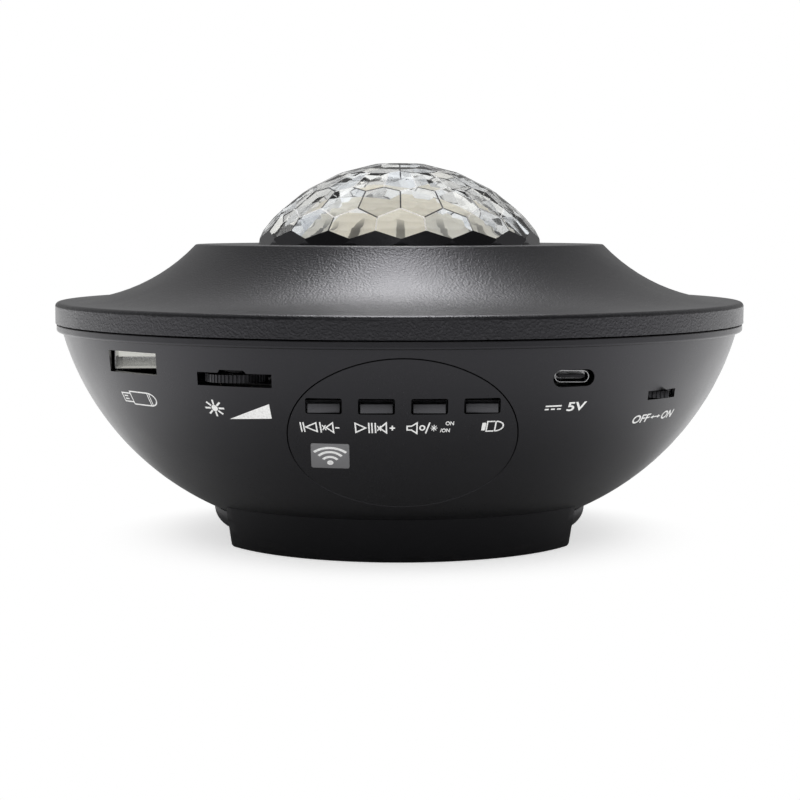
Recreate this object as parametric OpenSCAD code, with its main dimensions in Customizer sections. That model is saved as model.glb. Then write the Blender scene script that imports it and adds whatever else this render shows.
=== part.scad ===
// Star night light projector: a saucer-shaped housing with a faceted crystal dome on top,
// a slowly turning ripple lens, a loudspeaker facing down and a row of ports and buttons.
// Millimetres. +Z is up, the origin is at the middle of the floor contact, the controls face -Y.

/* [Housing] */
// Outer radius of the brim
brim_r = 100; // [97:0.5:106]
// Height of the vertical band round the brim
brim_h = 6; // [5:0.5:8]
// Height of the seam between the two housing halves
seam_z = 62.9; // [62.5:0.1:64]
// Height of the flat deck that carries the dome
deck_z = 85.2; // [84:0.2:88]
// Radius of the hollow curve between deck and brim
slope_arc_r = 52.3; // [51:0.1:54]
// Radius of the belly curve of the lower bowl
bowl_arc_r = 78.74; // [78.4:0.1:80]
// Wall thickness of the mouldings
wall = 2.2; // [1.8:0.1:2.6]
// Visible gap at the seam
seam_gap = 0.3; // [0.2:0.05:0.5]
// Rounding of the brim's upper edge
rim_round = 1.3; // [0.8:0.1:2]
// Rounding of the deck's edge
deck_round = 0.8; // [0.4:0.1:1.5]
// How far the bowl's own flange stands out under the brim
flange_out = 1.1; // [0.8:0.1:1.3]

/* [Base] */
// Radius of the round base cover
base_r = 54.7; // [53:0.1:55.5]
// Height of the base cover's underside over the floor
base_lift = 3; // [2.6:0.1:3.6]
// Rounding under the base cover's edge
base_round = 5.5; // [4.5:0.1:6]
// How far the legs' feet stand out from the base cover
leg_step = 0.6; // [0:0.1:1.4]
// How far a leg leans out from its foot to the bowl
leg_flare = 5.5; // [4.5:0.1:6.5]
// Half width of each leg at the floor
leg_half_w = 47.7; // [44:0.5:49]
// Rounding of each leg's lower corners
leg_round = 1; // [0.6:0.1:1.5]
// Thickness of the rubber foot pads
pad_t = 1; // [0.8:0.1:1.4]
// Number of sound holes in the outer ring of the speaker grille
grille_n = 30; // [18:2:34]

/* [Dome] */
// Radius of the sphere that the dome's facets touch
dome_r = 49.7; // [49:0.1:51]
// Height of that sphere's centre below the deck
dome_drop = 26.3; // [26:0.1:27]
// Facets in one row round the dome
facet_n = 18; // [16:2:20]
// Thickness of the dome's wall
dome_wall = 2.4; // [2:0.1:3]
// Radius of the dome's neck in the deck opening
neck_r = 41.3; // [41.2:0.1:42]

/* [Turning lens] */
// Gear module
gear_module = 1; // [0.9:0.05:1.05]
// Teeth on the lens gear
lens_teeth = 80; // [76:2:82]
// Teeth on the drive pinion
pinion_teeth = 14; // [12:1:16]
// Width of the gear teeth
gear_w = 5; // [4:0.5:6]
// Free play between the teeth
backlash = 0.3; // [0.2:0.05:0.4]
// Radius of the collar that the lens gear turns on
collar_r = 30; // [29:0.5:31]
// Radial clearance of every shaft in its bearing
running_fit = 0.05; // [0.03:0.01:0.1]
// Radius of the ripple lens
lens_r = 40; // [38:0.5:40.5]
// Radius of the motor shaft
shaft_r = 1.5; // [1.2:0.1:2]

/* [Control panel] */
// Half width of the oval control panel
panel_a = 29.4; // [29:0.1:31]
// Half height of the oval control panel
panel_b = 25.3; // [25:0.1:26.5]
// Radius of the panel's tight side arcs
panel_side_r = 23; // [22.5:0.1:23.5]
// Forward lean of the panel
panel_tilt = 35.5; // [33:0.5:37]
// Distance between neighbouring buttons
button_pitch = 13.2; // [12.4:0.1:13.4]
// Width of a button cap
button_w = 8; // [7:0.1:8.4]
// Height of a button cap
button_h = 2.2; // [1.8:0.1:2.6]
// Travel of a button
button_travel = 0.5; // [0.3:0.1:0.8]
// Width of the receiver window
window_w = 9.9; // [8:0.1:10.5]
// Height of the receiver window
window_h = 7; // [5:0.1:7.4]

/* [Ports] */
// Heading of the USB-A socket, 0 being the middle of the front
usb_a_az = -48; // [-48.8:0.1:-47.4]
// Heading of the brightness wheel
wheel_az = -26.6; // [-27.4:0.1:-25.6]
// Radius of the brightness wheel
wheel_r = 8; // [7.5:0.1:8.4]
// Thickness of the brightness wheel
wheel_t = 2; // [1.6:0.1:2.2]
// Heading of the USB-C socket
usb_c_az = 27.1; // [26:0.1:27.8]
// Heading of the power switch slot
power_az = 46.4; // [46:0.1:47]
// Travel of the power switch
power_travel = 2; // [1.6:0.1:2.2]

/* [Boards and screws] */
// Height of the port board's upper face
board_z = 50.8; // [50.6:0.1:51]
// Thickness of every circuit board
board_t = 1.6; // [1.2:0.1:1.6]
// Gap between the port board's edge and the housing wall
board_edge = 3.1; // [2.8:0.1:3.6]
// Radius of the circle of housing screws
post_ring_r = 50; // [49:0.5:51]
// Radius of a housing screw's shank
screw_r = 1.4; // [1.2:0.05:1.5]

/* [Hidden] */
$fn = 96;

// small fits and steps
fit_gap = 0.3;          // between neighbouring mouldings
loose = 0.05;           // between a screw or tube and its hole
eps = 0.01;             // overlap that joins two parts of one moulding
far = 30;               // length of a cut that only has to pass through
head_r = 2.7;           // every screw head
head_h = 2;

// housing curves
slope_c = [brim_r - 2.5, seam_z + brim_h + slope_arc_r];
bowl_c = [brim_r - 77.94, seam_z + 18.26];
bowl_top = seam_z - seam_gap;
floor_z = base_lift + 6.3;      // underside of the bowl's flat floor
floor_t = wall;
flange_h = 2.1;                 // height of the bowl's flange
flange_round = [0.3, 0.6];      // roundings of its upper and lower edge
lip_r = brim_r - 4;             // inner lip that centres the upper half in the bowl
lip_t = 1.8;
lip_drop = 2.7;
deck_under = deck_z - wall;

// base
leg_foot_r = base_r + leg_step;
leg_top_r = leg_foot_r + leg_flare;
leg_top_z = bowl_c[1] - sqrt(pow(bowl_arc_r, 2) - pow(leg_top_r - bowl_c[0], 2));
leg_z = 0.2;                     // hard leg stands this far over the floor, on its pads
leg_in_r = leg_foot_r - 5.2;
leg_root = 3;                    // leg and bowl floor overlap in height by this much before the cut
leg_draft = 1;                   // each leg end leans out by this much at the top
speaker_hole_r = 37;

// screw rings
post_joint = seam_z - 4.9;       // where upper and lower posts meet
post_r = 4.2;
post_az = [45, 135, 225, 315];
well_r = 3.1;
well_top = post_joint - 4;
post_screw = 14;                 // shank of a housing screw
deck_screw = 10;
base_screw = 9;
base_screw_seat = floor_z - 2.4;
screw_tip = 1;                   // room in front of a screw's tip
deck_boss_r = 54;
deck_boss_az = [15, 165, 195, 345];
retainer_boss_r = 52;
retainer_az = [0, 90, 180, 270];
boss_r = 3.2;
base_screw_ring = base_r - 8.3;

// dome
dome_c = deck_z - dome_drop;
facet_cut_w = 24;                // size of the cuts that make the facets
facet_cut_t = 15;
skirt_cut_w = dome_r + 20;       // skirt cuts reach down past the flange
facet_row_0 = 39;                // lean of the lowest full row's facets
facet_row_step = 12;
facet_rows = 4;
facet_blank = 1.2;               // moulding blank that the facets fully cut away
skirt_tilt = 15;
skirt_apex_z = deck_z + 4.1;     // tips of the half facets just over the deck
flange_t = 2;
flange_r = neck_r + 4;
retainer_t = 2;
retainer_z = deck_under - flange_t - retainer_t;

// turning lens
gear_z = 68.3;
deck_plate_z = gear_z - fit_gap - 2;
deck_plate_t = 2;
collar_top = gear_z + gear_w + 1.8;
gear_r = gear_module * lens_teeth / 2;
pinion_r = gear_module * pinion_teeth / 2;
shaft_y = gear_r + pinion_r + 0.1;
pressure = 25;
lens_wall = 2.2;
lens_foot = gear_z + gear_w;
lens_c = lens_foot - 13.3;
clip_t = 1.4;
motor_top = deck_plate_z;
motor_r = 10;
gearbox_h = 12;
motor_h = 12;                    // motor can under the gearbox
motor_ear = 13.5;                // mounting screws each side of the shaft
motor_ear_w = 7;
motor_ear_t = 1;
shaft_in = 7;                    // shaft inside the gearbox

// lamp
led_board_r = 26;
led_ring_r = 17;
lamp_hole_r = 22;
sink_t = 2;
laser_r = 4.5;
sink_screw_ring = 24;
sink_screw_az = [30, 150, 270];
sink_h = 9;                      // height of the fins under the plate
fin_pitch = 6.4;
fin_t = 1.2;
fin_len = 38;
laser_h = 17;
laser_under = 12;                // barrel under the lamp board

// panel: four-arc oval, centred where its axis leaves the wall
panel_c = [0, -(brim_r - 17.27), seam_z - 25.05];
panel_side_c = panel_a - panel_side_r;
panel_k = (pow(panel_side_c, 2) - pow(panel_b - panel_side_r, 2)) / (2 * (panel_b - panel_side_r));
panel_big_r = panel_b + panel_k;
panel_gap = 0.35;                // visible line round the panel
ledge_t = 1.6;
ledge_w = 2;
button_x = [for (i = [-1.5, -0.5, 0.5, 1.5]) i * button_pitch];
slot_w = button_w + 1.2;
slot_z = [43.9, 48];
slot_round = 0.6;
button_z = slot_z[0] + fit_gap;
window_c = [-18.4, 32.4];
window_t = 1.2;
window_round = 0.5;

// port board and what it carries
board_under = board_z - board_t;
board_r = bowl_r(board_under, wall) - board_edge;
board_chord = -40;
board_boss_r = board_r - 13.9;
board_boss = [for (a = [27.3, 48.2]) board_boss_r * [sin(a), -cos(a)]];
board_screw = 8;
port_ring = bowl_r(board_z, 0);
port_cut = 60;                   // length of a straight cut inwards from the brim's radius
usb_a_x = port_ring * sin(usb_a_az);
wheel_x = port_ring * sin(wheel_az);
usb_c_x = port_ring * sin(usb_c_az);
power_x = port_ring * sin(power_az);
tact_front = -(board_r - 5.9);
tact_w = 6;
tact_d = 3.6;
plunger_r = 1.5;
plunger_in = 1.6;                // plunger in its bore with the button released
cap_back = tact_front - button_travel - fit_gap - 0.2;
usb_w = 13.1;
usb_h = 5.6;
usb_a_len = 14;
tongue_a = [11.1, 1.84];         // width and height of the contact tongues
tongue_c = [6.7, 0.7];
usb_z = board_z + 1.4;
sheet = 0.35;                    // sheet metal of the sockets
usb_c_w = 8.94;
usb_c_h = 3.26;
usb_c_len = 7.4;
usb_c_z = board_z + usb_c_h / 2;
wheel_z = board_z + 0.4;
wheel_bore = 2;
wheel_slot_w = 19.4;
slot_under = 0.9;                // wheel slot under and over the wheel
slot_over = 0.6;
wheel_scoop = 1.4;               // finger scoop over the middle of the slot
scoop_depth = 0.6;
wheel_out = 0.5;                 // rim of the wheel stands this far out of the bowl
wheel_c = [wheel_x, -sqrt(pow(bowl_r(wheel_z, 0) - wheel_r + wheel_out, 2) - pow(wheel_x, 2))];
scoop_r = wheel_r + wheel_scoop;
scoop_ring = bowl_r(wheel_z + wheel_t + wheel_scoop, 0) + scoop_depth - scoop_r;
power_slot_w = 8.4;
power_body_w = 10.8;
power_z = [45.1, 47.6];
knob_w = power_slot_w - power_travel - 2 * fit_gap - 0.3;
knob_x = power_x - power_slot_w / 2 + fit_gap + 0.1;

// main board
main_z = 32;
main_size = [88, 44];
main_boss = [[39, 17], [39, -17]];
main_screw = 6;

// infrared receiver
receiver = [5.6, 4, 6.6];
receiver_low = window_c[1] - 3.2;

// radius of the bowl at height z, inset from its outer face
function bowl_r(z, inset) = bowl_c[0] + sqrt(pow(bowl_arc_r - inset, 2) - pow(z - bowl_c[1], 2));
// place in Y of the bowl's wall for a straight port at x and z
function wall_y(x, z, inset) = -sqrt(pow(bowl_r(z, inset), 2) - pow(x, 2));

function involute(base_r, r) = let (t = sqrt(max(0, pow(r / base_r, 2) - 1))) t * 180 / PI - atan(t);

// half of a tooth's angle at radius r
function tooth_half(n, r) =
    let (pitch_r = gear_module * n / 2, base_r = pitch_r * cos(pressure))
    90 / n - backlash / 2 / pitch_r * 90 / PI + involute(base_r, pitch_r) - involute(base_r, max(r, base_r));

// outline of an involute spur gear
function gear_points(n) =
    let (pitch_r = gear_module * n / 2,
         radii = [for (k = [-1.2, -0.6, 0, 0.5, 1]) pitch_r + k * gear_module])
    [for (i = [0:n - 1], s = [-1, 1], k = [0:4])
        let (r = radii[s < 0 ? k : 4 - k], a = i * 360 / n + s * tooth_half(n, r))
        [r * cos(a), r * sin(a)]];

module ring_of(r, angles) {
    for (a = angles)
        rotate(a)
            translate([r, 0, 0])
                children();
}

// both mirror images in X of a pair of places
module both_sides(places) {
    for (p = places, s = [-1, 1])
        translate([s * p[0], p[1], 0])
            children();
}

module tube(r, bore, h) {
    difference() {
        cylinder(r = r, h = h);
        translate([0, 0, -1])
            cylinder(r = bore, h = h + 2);
    }
}

// screw with its head down and its shank up
module screw(length) {
    difference() {
        union() {
            cylinder(r = screw_r, h = length);
            translate([0, 0, -head_h])
                cylinder(r = head_r, h = head_h);
        }
        for (a = [0, 90])
            rotate(a)
                translate([-0.4, -1.6, -head_h - eps])
                    cube([0.8, 3.2, 1]);
    }
}

// ---- housing ----

// centre of the rounding between the flat deck and the slope
deck_round_reach = sqrt(pow(slope_arc_r + deck_round, 2) - pow(slope_c[1] - deck_z + deck_round, 2));
deck_round_c = [slope_c[0] - deck_round_reach, deck_z - deck_round];
// height at which that rounding runs into the slope
deck_round_z = deck_round_c[1] + deck_round * (slope_c[1] - deck_round_c[1]) / (slope_arc_r + deck_round);

module upper_profile() {
    difference() {
        union() {
            translate([0, seam_z])
                square([deck_round_c[0], deck_z - seam_z]);
            translate(deck_round_c)
                circle(deck_round);
            translate([0, seam_z])
                square([brim_r - rim_round, deck_round_z - seam_z]);
            translate([0, seam_z])
                square([brim_r, brim_h - rim_round]);
            translate([brim_r - rim_round, seam_z + brim_h - rim_round])
                circle(rim_round);
        }
        translate(slope_c)
            circle(slope_arc_r);
    }
}

module upper_cavity() {
    difference() {
        translate([-eps, seam_z - 1])
            square([brim_r - wall, deck_under - seam_z + 1]);
        translate(slope_c)
            circle(slope_arc_r + wall);
    }
}

module upper_shell() {
    color("#1d1d20")
    difference() {
        union() {
            rotate_extrude() {
                difference() {
                    upper_profile();
                    upper_cavity();
                }
                translate([lip_r - lip_t, seam_z - lip_drop])
                    square([lip_t, lip_drop + brim_h - wall / 2]);
            }
            ring_of(post_ring_r, post_az)
                translate([0, 0, post_joint])
                    cylinder(r = post_r, h = deck_under - post_joint + eps);
            ring_of(deck_boss_r, deck_boss_az)
                translate([0, 0, deck_plate_z + deck_plate_t])
                    cylinder(r = boss_r, h = deck_under - deck_plate_z - deck_plate_t + eps);
            ring_of(retainer_boss_r, retainer_az)
                translate([0, 0, retainer_z + retainer_t])
                    cylinder(r = boss_r, h = deck_under - retainer_z - retainer_t + eps);
        }
        translate([0, 0, deck_under - far])
            cylinder(r = neck_r + fit_gap, h = 2 * far);
        ring_of(post_ring_r, post_az)
            translate([0, 0, post_joint - 1])
                cylinder(r = screw_r + loose, h = well_top + post_screw + screw_tip - post_joint + 1);
        ring_of(deck_boss_r, deck_boss_az)
            translate([0, 0, deck_plate_z])
                cylinder(r = screw_r + loose, h = deck_screw + screw_tip);
        ring_of(retainer_boss_r, retainer_az)
            translate([0, 0, retainer_z])
                cylinder(r = screw_r + loose, h = retainer_t + flange_t + screw_tip);
    }
}

// solid of the bowl's outside, moved in by inset
module bowl_profile(inset, z_low, z_high) {
    intersection() {
        translate(bowl_c)
            circle(bowl_arc_r - inset);
        translate([0, z_low])
            square([brim_r, z_high - z_low]);
    }
}

// four-arc oval of the control panel, moved out by grow
module panel_oval(grow) {
    tangent_x = panel_big_r * panel_side_c / sqrt(pow(panel_side_c, 2) + pow(panel_k, 2));
    intersection() {
        translate([0, -panel_k])
            circle(panel_big_r + grow);
        translate([0, panel_k])
            circle(panel_big_r + grow);
        square([2 * tangent_x, 4 * panel_b], center = true);
    }
    for (s = [-1, 1])
        translate([s * panel_side_c, 0])
            circle(panel_side_r + grow);
}

module panel_prism(grow) {
    translate(panel_c)
        rotate([90 + panel_tilt, 0, 0])
            translate([0, 0, -far / 2])
                linear_extrude(far * 1.5)
                    panel_oval(grow);
}

// rectangle with rounded corners, centred
module soft_rectangle(w, h, r) {
    square([w - 2 * r, h], center = true);
    square([w, h - 2 * r], center = true);
    for (x = [-1, 1], y = [-1, 1])
        translate([x * (w / 2 - r), y * (h / 2 - r)])
            circle(r);
}

// straight prism that cuts the front wall, with rounded corners
module front_cut(x, z, w, h, r) {
    translate([x, far - brim_r, z])
        rotate([90, 0, 0])
            linear_extrude(far)
                soft_rectangle(w, h, r);
}

module button_slots(grow) {
    h = slot_z[1] - slot_z[0];
    for (x = button_x)
        front_cut(x, slot_z[0] + h / 2, slot_w + 2 * grow, h + 2 * grow, slot_round);
}

module usb_a_hole() {
    translate([usb_a_x - usb_w / 2 - 0.5, -brim_r, usb_z - 0.15])
        cube([usb_w + 1, port_cut, usb_h + 0.3]);
}

module wheel_slot() {
    translate([wheel_x - wheel_slot_w / 2, -brim_r, wheel_z - slot_under])
        cube([wheel_slot_w, port_cut, wheel_t + slot_under + slot_over]);
    translate([scoop_ring * sin(wheel_az), -scoop_ring * cos(wheel_az), wheel_z])
        cylinder(r = scoop_r, h = wheel_t + wheel_scoop);
}

// slot with round ends, lying along X
module stadium(w, h) {
    square([w - h, h], center = true);
    for (s = [-1, 1])
        translate([s * (w - h) / 2, 0])
            circle(h / 2);
}

module usb_c_hole() {
    translate([usb_c_x, port_cut - brim_r, usb_c_z])
        rotate([90, 0, 0])
            linear_extrude(port_cut)
                stadium(usb_c_w + 2, usb_c_h + 1.2);
}

module power_slot() {
    translate([power_x - power_slot_w / 2, -brim_r, power_z[0]])
        cube([power_slot_w, port_cut, power_z[1] - power_z[0]]);
}

// flange under the seam, with both outer edges rounded
module flange_profile() {
    r = bowl_r(bowl_top, 0) + flange_out;
    inner = lip_r + fit_gap;
    low = bowl_top - flange_h;
    polygon([[inner, low - fit_gap], [r - flange_round[1], low],
             [r - flange_round[1], bowl_top], [inner, bowl_top]]);
    translate([inner, low + flange_round[1]])
        square([r - inner, flange_h - flange_round[0] - flange_round[1]]);
    translate([inner, bowl_top - 2 * flange_round[0]])
        square([r - inner - flange_round[0], 2 * flange_round[0]]);
    translate([r - flange_round[0], bowl_top - flange_round[0]])
        circle(flange_round[0]);
    translate([r - flange_round[1], low + flange_round[1]])
        circle(flange_round[1]);
}

module bowl_shell() {
    rotate_extrude() {
        difference() {
            union() {
                bowl_profile(0, floor_z, bowl_top);
                flange_profile();
            }
            bowl_profile(wall, floor_z + floor_t, bowl_top + 1);
            translate([-eps, 0])
                square([speaker_hole_r, seam_z]);
            translate([-eps, seam_z - 3.5])
                square([lip_r + fit_gap, 4]);
        }
    }
}

// ledge behind the control panel's edge
module panel_ledge() {
    difference() {
        intersection() {
            rotate_extrude()
                difference() {
                    bowl_profile(wall / 2, floor_z + floor_t, bowl_top - 4);
                    bowl_profile(wall + ledge_t, floor_z, bowl_top);
                }
            panel_prism(ledge_w);
        }
        panel_prism(-ledge_w);
        button_slots(1.2);
    }
}

// room for the control panel, through the wall and down to the ledge
module panel_pocket() {
    intersection() {
        rotate_extrude()
            difference() {
                bowl_profile(-1, floor_z, bowl_top - 1);
                bowl_profile(wall + loose, floor_z - 1, bowl_top);
            }
        panel_prism(0);
    }
}

module lower_bowl() {
    color("#26262a")
    difference() {
        union() {
            bowl_shell();
            panel_ledge();
            ring_of(post_ring_r, post_az)
                translate([0, 0, floor_z + 1])
                    cylinder(r = post_r + 0.4, h = post_joint - floor_z - 1);
            ring_of(base_screw_ring, retainer_az)
                translate([0, 0, floor_z + 1])
                    cylinder(r = boss_r, h = base_screw_seat + base_screw + 2 * screw_tip - floor_z);
            both_sides(main_boss)
                translate([0, 0, floor_z + 1])
                    cylinder(r = boss_r, h = main_z - floor_z - 1);
            intersection() {
                both_sides(board_boss)
                    cylinder(r = boss_r, h = board_under);
                rotate_extrude()
                    bowl_profile(wall / 2, floor_z, bowl_top);
            }
        }
        panel_pocket();
        usb_a_hole();
        wheel_slot();
        usb_c_hole();
        power_slot();
        ring_of(post_ring_r, post_az) {
            cylinder(r = well_r, h = well_top);
            cylinder(r = screw_r + loose, h = seam_z);
        }
        ring_of(base_screw_ring, retainer_az)
            translate([0, 0, base_screw_seat])
                cylinder(r = screw_r + loose, h = base_screw + screw_tip);
        both_sides(main_boss)
            translate([0, 0, main_z - main_screw])
                cylinder(r = screw_r + loose, h = main_screw + 1);
        both_sides(board_boss)
            translate([0, 0, board_under - board_screw])
                cylinder(r = screw_r + loose, h = board_screw + 1);
    }
}

// ---- control panel ----

module control_panel() {
    color("#26262a")
    difference() {
        intersection() {
            rotate_extrude()
                difference() {
                    bowl_profile(0, floor_z, bowl_top - 1);
                    bowl_profile(wall, floor_z - 1, bowl_top);
                }
            panel_prism(-panel_gap);
        }
        button_slots(0);
        difference() {
            window_block(0);
            rotate_extrude()
                bowl_profile(window_t, floor_z, bowl_top);
        }
        window_block(-1);
    }
}

// straight block through the wall where the receiver window sits
module window_block(grow) {
    front_cut(window_c[0], window_c[1], window_w + 2 * grow, window_h + 2 * grow, window_round);
}

module ir_window() {
    color("#6f6f74")
    intersection() {
        rotate_extrude()
            difference() {
                bowl_profile(0, floor_z, bowl_top - 1);
                bowl_profile(window_t - loose, floor_z - 1, bowl_top);
            }
        window_block(-loose);
    }
}

module button(x) {
    front = wall_y(abs(x), slot_z[0], 0) + 0.2;
    color("#3a3a3e") {
        translate([x - button_w / 2, front, button_z])
            cube([button_w, cap_back - front, button_h]);
        translate([x - button_w / 2 - 1.4, cap_back - 1.4, button_z - 0.4])
            cube([button_w + 2.8, 1.4, button_h + 1]);
    }
    color("#111111")
    translate([x, tact_front + plunger_in, button_z + button_h / 2])
        rotate([90, 0, 0])
            cylinder(r = plunger_r, h = tact_front + plunger_in - cap_back);
}

module tact_switches() {
    color("#2c2c30")
    for (x = button_x)
        difference() {
            translate([x - tact_w / 2, tact_front, button_z - 1.2])
                cube([tact_w, tact_d, board_under - button_z + 1.2]);
            translate([x, tact_front + plunger_in + button_travel + fit_gap, button_z + button_h / 2])
                rotate([90, 0, 0])
                    cylinder(r = plunger_r + running_fit, h = 4);
        }
}

module ir_receiver() {
    x = window_c[0];
    top = receiver_low + receiver[2];
    front = wall_y(abs(x) + receiver[0] / 2, receiver_low, wall) + fit_gap;
    color("#18181a")
    translate([x - receiver[0] / 2, front, receiver_low])
        cube(receiver);
    color("#b8b8bc")
    for (i = [-1, 0, 1])
        translate([x + 2.2 * i - 0.25, front + 1.5, top])
            cube([0.5, 0.5, board_under - top]);
}

// ---- ports ----

module brightness_wheel() {
    knurls = 48;
    color("#1a1a1c")
    translate([wheel_c[0], wheel_c[1], wheel_z])
        difference() {
            linear_extrude(wheel_t)
                difference() {
                    circle(wheel_r);
                    for (i = [0:knurls - 1])
                        rotate(i * 360 / knurls)
                            translate([wheel_r - 0.3, -0.25])
                                square([1, 0.5]);
                }
            translate([0, 0, -1])
                cylinder(r = wheel_bore + running_fit, h = wheel_t + 2);
        }
}

// rotary part with its shaft and the cap that keeps the wheel on
module potentiometer() {
    color("#7d6a48")
    translate([wheel_c[0], wheel_c[1], board_z]) {
        cylinder(r = wheel_bore, h = wheel_t + 0.8);
        translate([0, 0, wheel_t + 0.7])
            cylinder(r = wheel_bore + 1, h = 0.6);
    }
}

module power_knob() {
    front = wall_y(power_x, power_z[1], 0) - 0.2;
    h = power_z[1] - power_z[0] - 2 * fit_gap;
    depth = 6;
    stem_w = 2;
    stem_end = power_front() + 3;
    color("#151517")
    difference() {
        union() {
            translate([knob_x, front, power_z[0] + fit_gap])
                cube([knob_w, depth, h]);
            translate([knob_x + (knob_w - stem_w) / 2, front + depth - eps, power_z[0] + fit_gap])
                cube([stem_w, stem_end - front - depth, h]);
        }
        for (i = [0:3])
            translate([knob_x + 0.8 + i * 1.1, front - eps, power_z[0]])
                cube([0.4, 0.5, 4]);
    }
}

// front of the switch body, just inside the wall at its outer lower corner
function power_front() = wall_y(power_x + power_body_w / 2, power_z[0] - 0.8, wall) + fit_gap;

module power_switch() {
    front = power_front();
    low = power_z[0] - 0.8;
    stem_x = knob_x + knob_w / 2 - 1;
    color("#9a9a9e")
    difference() {
        translate([power_x - power_body_w / 2, front, low])
            cube([power_body_w, 4.6, board_under - low]);
        translate([stem_x - fit_gap, front - 1, power_z[0]])
            cube([2 + power_travel + 2 * fit_gap, 4.6, power_z[1] - power_z[0]]);
    }
}

module usb_a_shell() {
    x0 = usb_a_x - usb_w / 2;
    front = usb_a_front();
    color("#c9c9cc")
    difference() {
        union() {
            translate([x0, front, usb_z])
                cube([usb_w, usb_a_len, usb_h]);
            for (x = [x0, x0 + usb_w - sheet])
                translate([x, front + 4, board_z])
                    cube([sheet, 3, usb_z - board_z + eps]);
        }
        translate([x0 + sheet, front - 1, usb_z + sheet])
            cube([usb_w - 2 * sheet, usb_a_len + 1 - sheet, usb_h - 2 * sheet]);
    }
}

// front edge of the USB-A shell, just inside the wall at its outer lower corner
function usb_a_front() = wall_y(abs(usb_a_x) + usb_w / 2, usb_z, wall) + fit_gap;

module usb_a_tongue() {
    color("#e9e9e6")
    translate([usb_a_x - tongue_a[0] / 2, usb_a_front() + 1, usb_z + usb_h - sheet - tongue_a[1]])
        cube([tongue_a[0], usb_a_len - 1 - sheet, tongue_a[1]]);
}

// front edge of the USB-C shell, just inside the wall at its outer lower corner
function usb_c_front() = wall_y(usb_c_x + usb_c_w / 2, board_z, wall) + fit_gap;

module usb_c_shell() {
    color("#a9a9ad")
    translate([usb_c_x, usb_c_front() + usb_c_len, usb_c_z])
        rotate([90, 0, 0])
            difference() {
                linear_extrude(usb_c_len)
                    stadium(usb_c_w, usb_c_h);
                translate([0, 0, sheet])
                    linear_extrude(far)
                        stadium(usb_c_w - 2 * sheet, usb_c_h - 2 * sheet);
            }
}

module usb_c_tongue() {
    color("#2a2a2e")
    translate([usb_c_x - tongue_c[0] / 2, usb_c_front() + 0.8, usb_c_z - tongue_c[1] / 2])
        cube([tongue_c[0], usb_c_len - sheet - 0.8, tongue_c[1]]);
}

// ---- boards ----

module port_board() {
    color("#1f5a38")
    translate([0, 0, board_under])
        difference() {
            intersection() {
                cylinder(r = board_r, h = board_t);
                translate([-brim_r, -brim_r, 0])
                    cube([2 * brim_r, brim_r + board_chord, board_t]);
            }
            both_sides(board_boss)
                translate([0, 0, -1])
                    cylinder(r = screw_r + loose, h = board_t + 2);
        }
}

module port_board_screws() {
    color("#b9b9bd")
    both_sides(board_boss)
        translate([0, 0, board_z])
            mirror([0, 0, 1])
                screw(board_screw);
}

module main_board() {
    color("#1f5a38")
    difference() {
        translate([-main_size[0] / 2, -main_size[1] / 2, main_z])
            cube([main_size[0], main_size[1], board_t]);
        both_sides(main_boss)
            translate([0, 0, main_z - 1])
                cylinder(r = screw_r + loose, h = board_t + 2);
    }
}

module main_board_parts() {
    top = main_z + board_t;
    color("#222226") {
        translate([-6, -6, top])
            cube([12, 12, 1.6]);
        translate([14, -5, top])
            cube([8, 10, 1.5]);
    }
    color("#30343c")
    for (p = [[-24, 8], [-24, -8]])
        translate([p[0], p[1], top])
            cylinder(r = 4, h = 9);
    color("#e8e4d8")
    for (x = [-12, 0, 12])
        translate([x - 4, 13, top])
            cube([8, 4.5, 5]);
}

module main_board_screws() {
    color("#b9b9bd")
    both_sides(main_boss)
        translate([0, 0, main_z + board_t])
            mirror([0, 0, 1])
                screw(main_screw);
}

// ---- base ----

module base_profile() {
    difference() {
        union() {
            translate([0, base_lift])
                square([base_r - base_round, floor_z - base_lift]);
            translate([0, base_lift + base_round])
                square([base_r, floor_z - base_lift - base_round]);
            translate([base_r - base_round, base_lift + base_round])
                circle(base_round);
        }
        translate([-eps, base_lift + wall])
            square([base_r - wall - 2, floor_z]);
        translate([-1, floor_z])
            square([base_r + 1, base_round]);
    }
}

module leg_profile() {
    difference() {
        polygon([[leg_in_r, leg_z], [leg_foot_r, leg_z], [leg_top_r, leg_top_z],
                 [leg_top_r, leg_top_z + leg_root], [base_r - wall, leg_top_z + leg_root],
                 [base_r - wall, base_lift + wall], [leg_in_r, base_lift + wall]]);
        translate(bowl_c)
            circle(bowl_arc_r + eps);
        translate([0, floor_z])
            square([base_r - 1, leg_top_z]);
    }
}

// legs seen from the front: drafted ends with rounded lower corners
module leg_outline() {
    top = leg_top_z + 1;
    draft = atan(leg_draft / top);
    z = leg_z + leg_round;
    x = leg_half_w + z * tan(draft) - leg_round / cos(draft);
    polygon([[-x, leg_z], [x, leg_z], [x, z],
             [x + leg_round * cos(draft), z - leg_round * sin(draft)], [leg_half_w + leg_draft, top],
             [-leg_half_w - leg_draft, top], [-x - leg_round * cos(draft), z - leg_round * sin(draft)],
             [-x, z]]);
    for (s = [-1, 1])
        translate([s * x, z])
            circle(leg_round);
}

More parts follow.
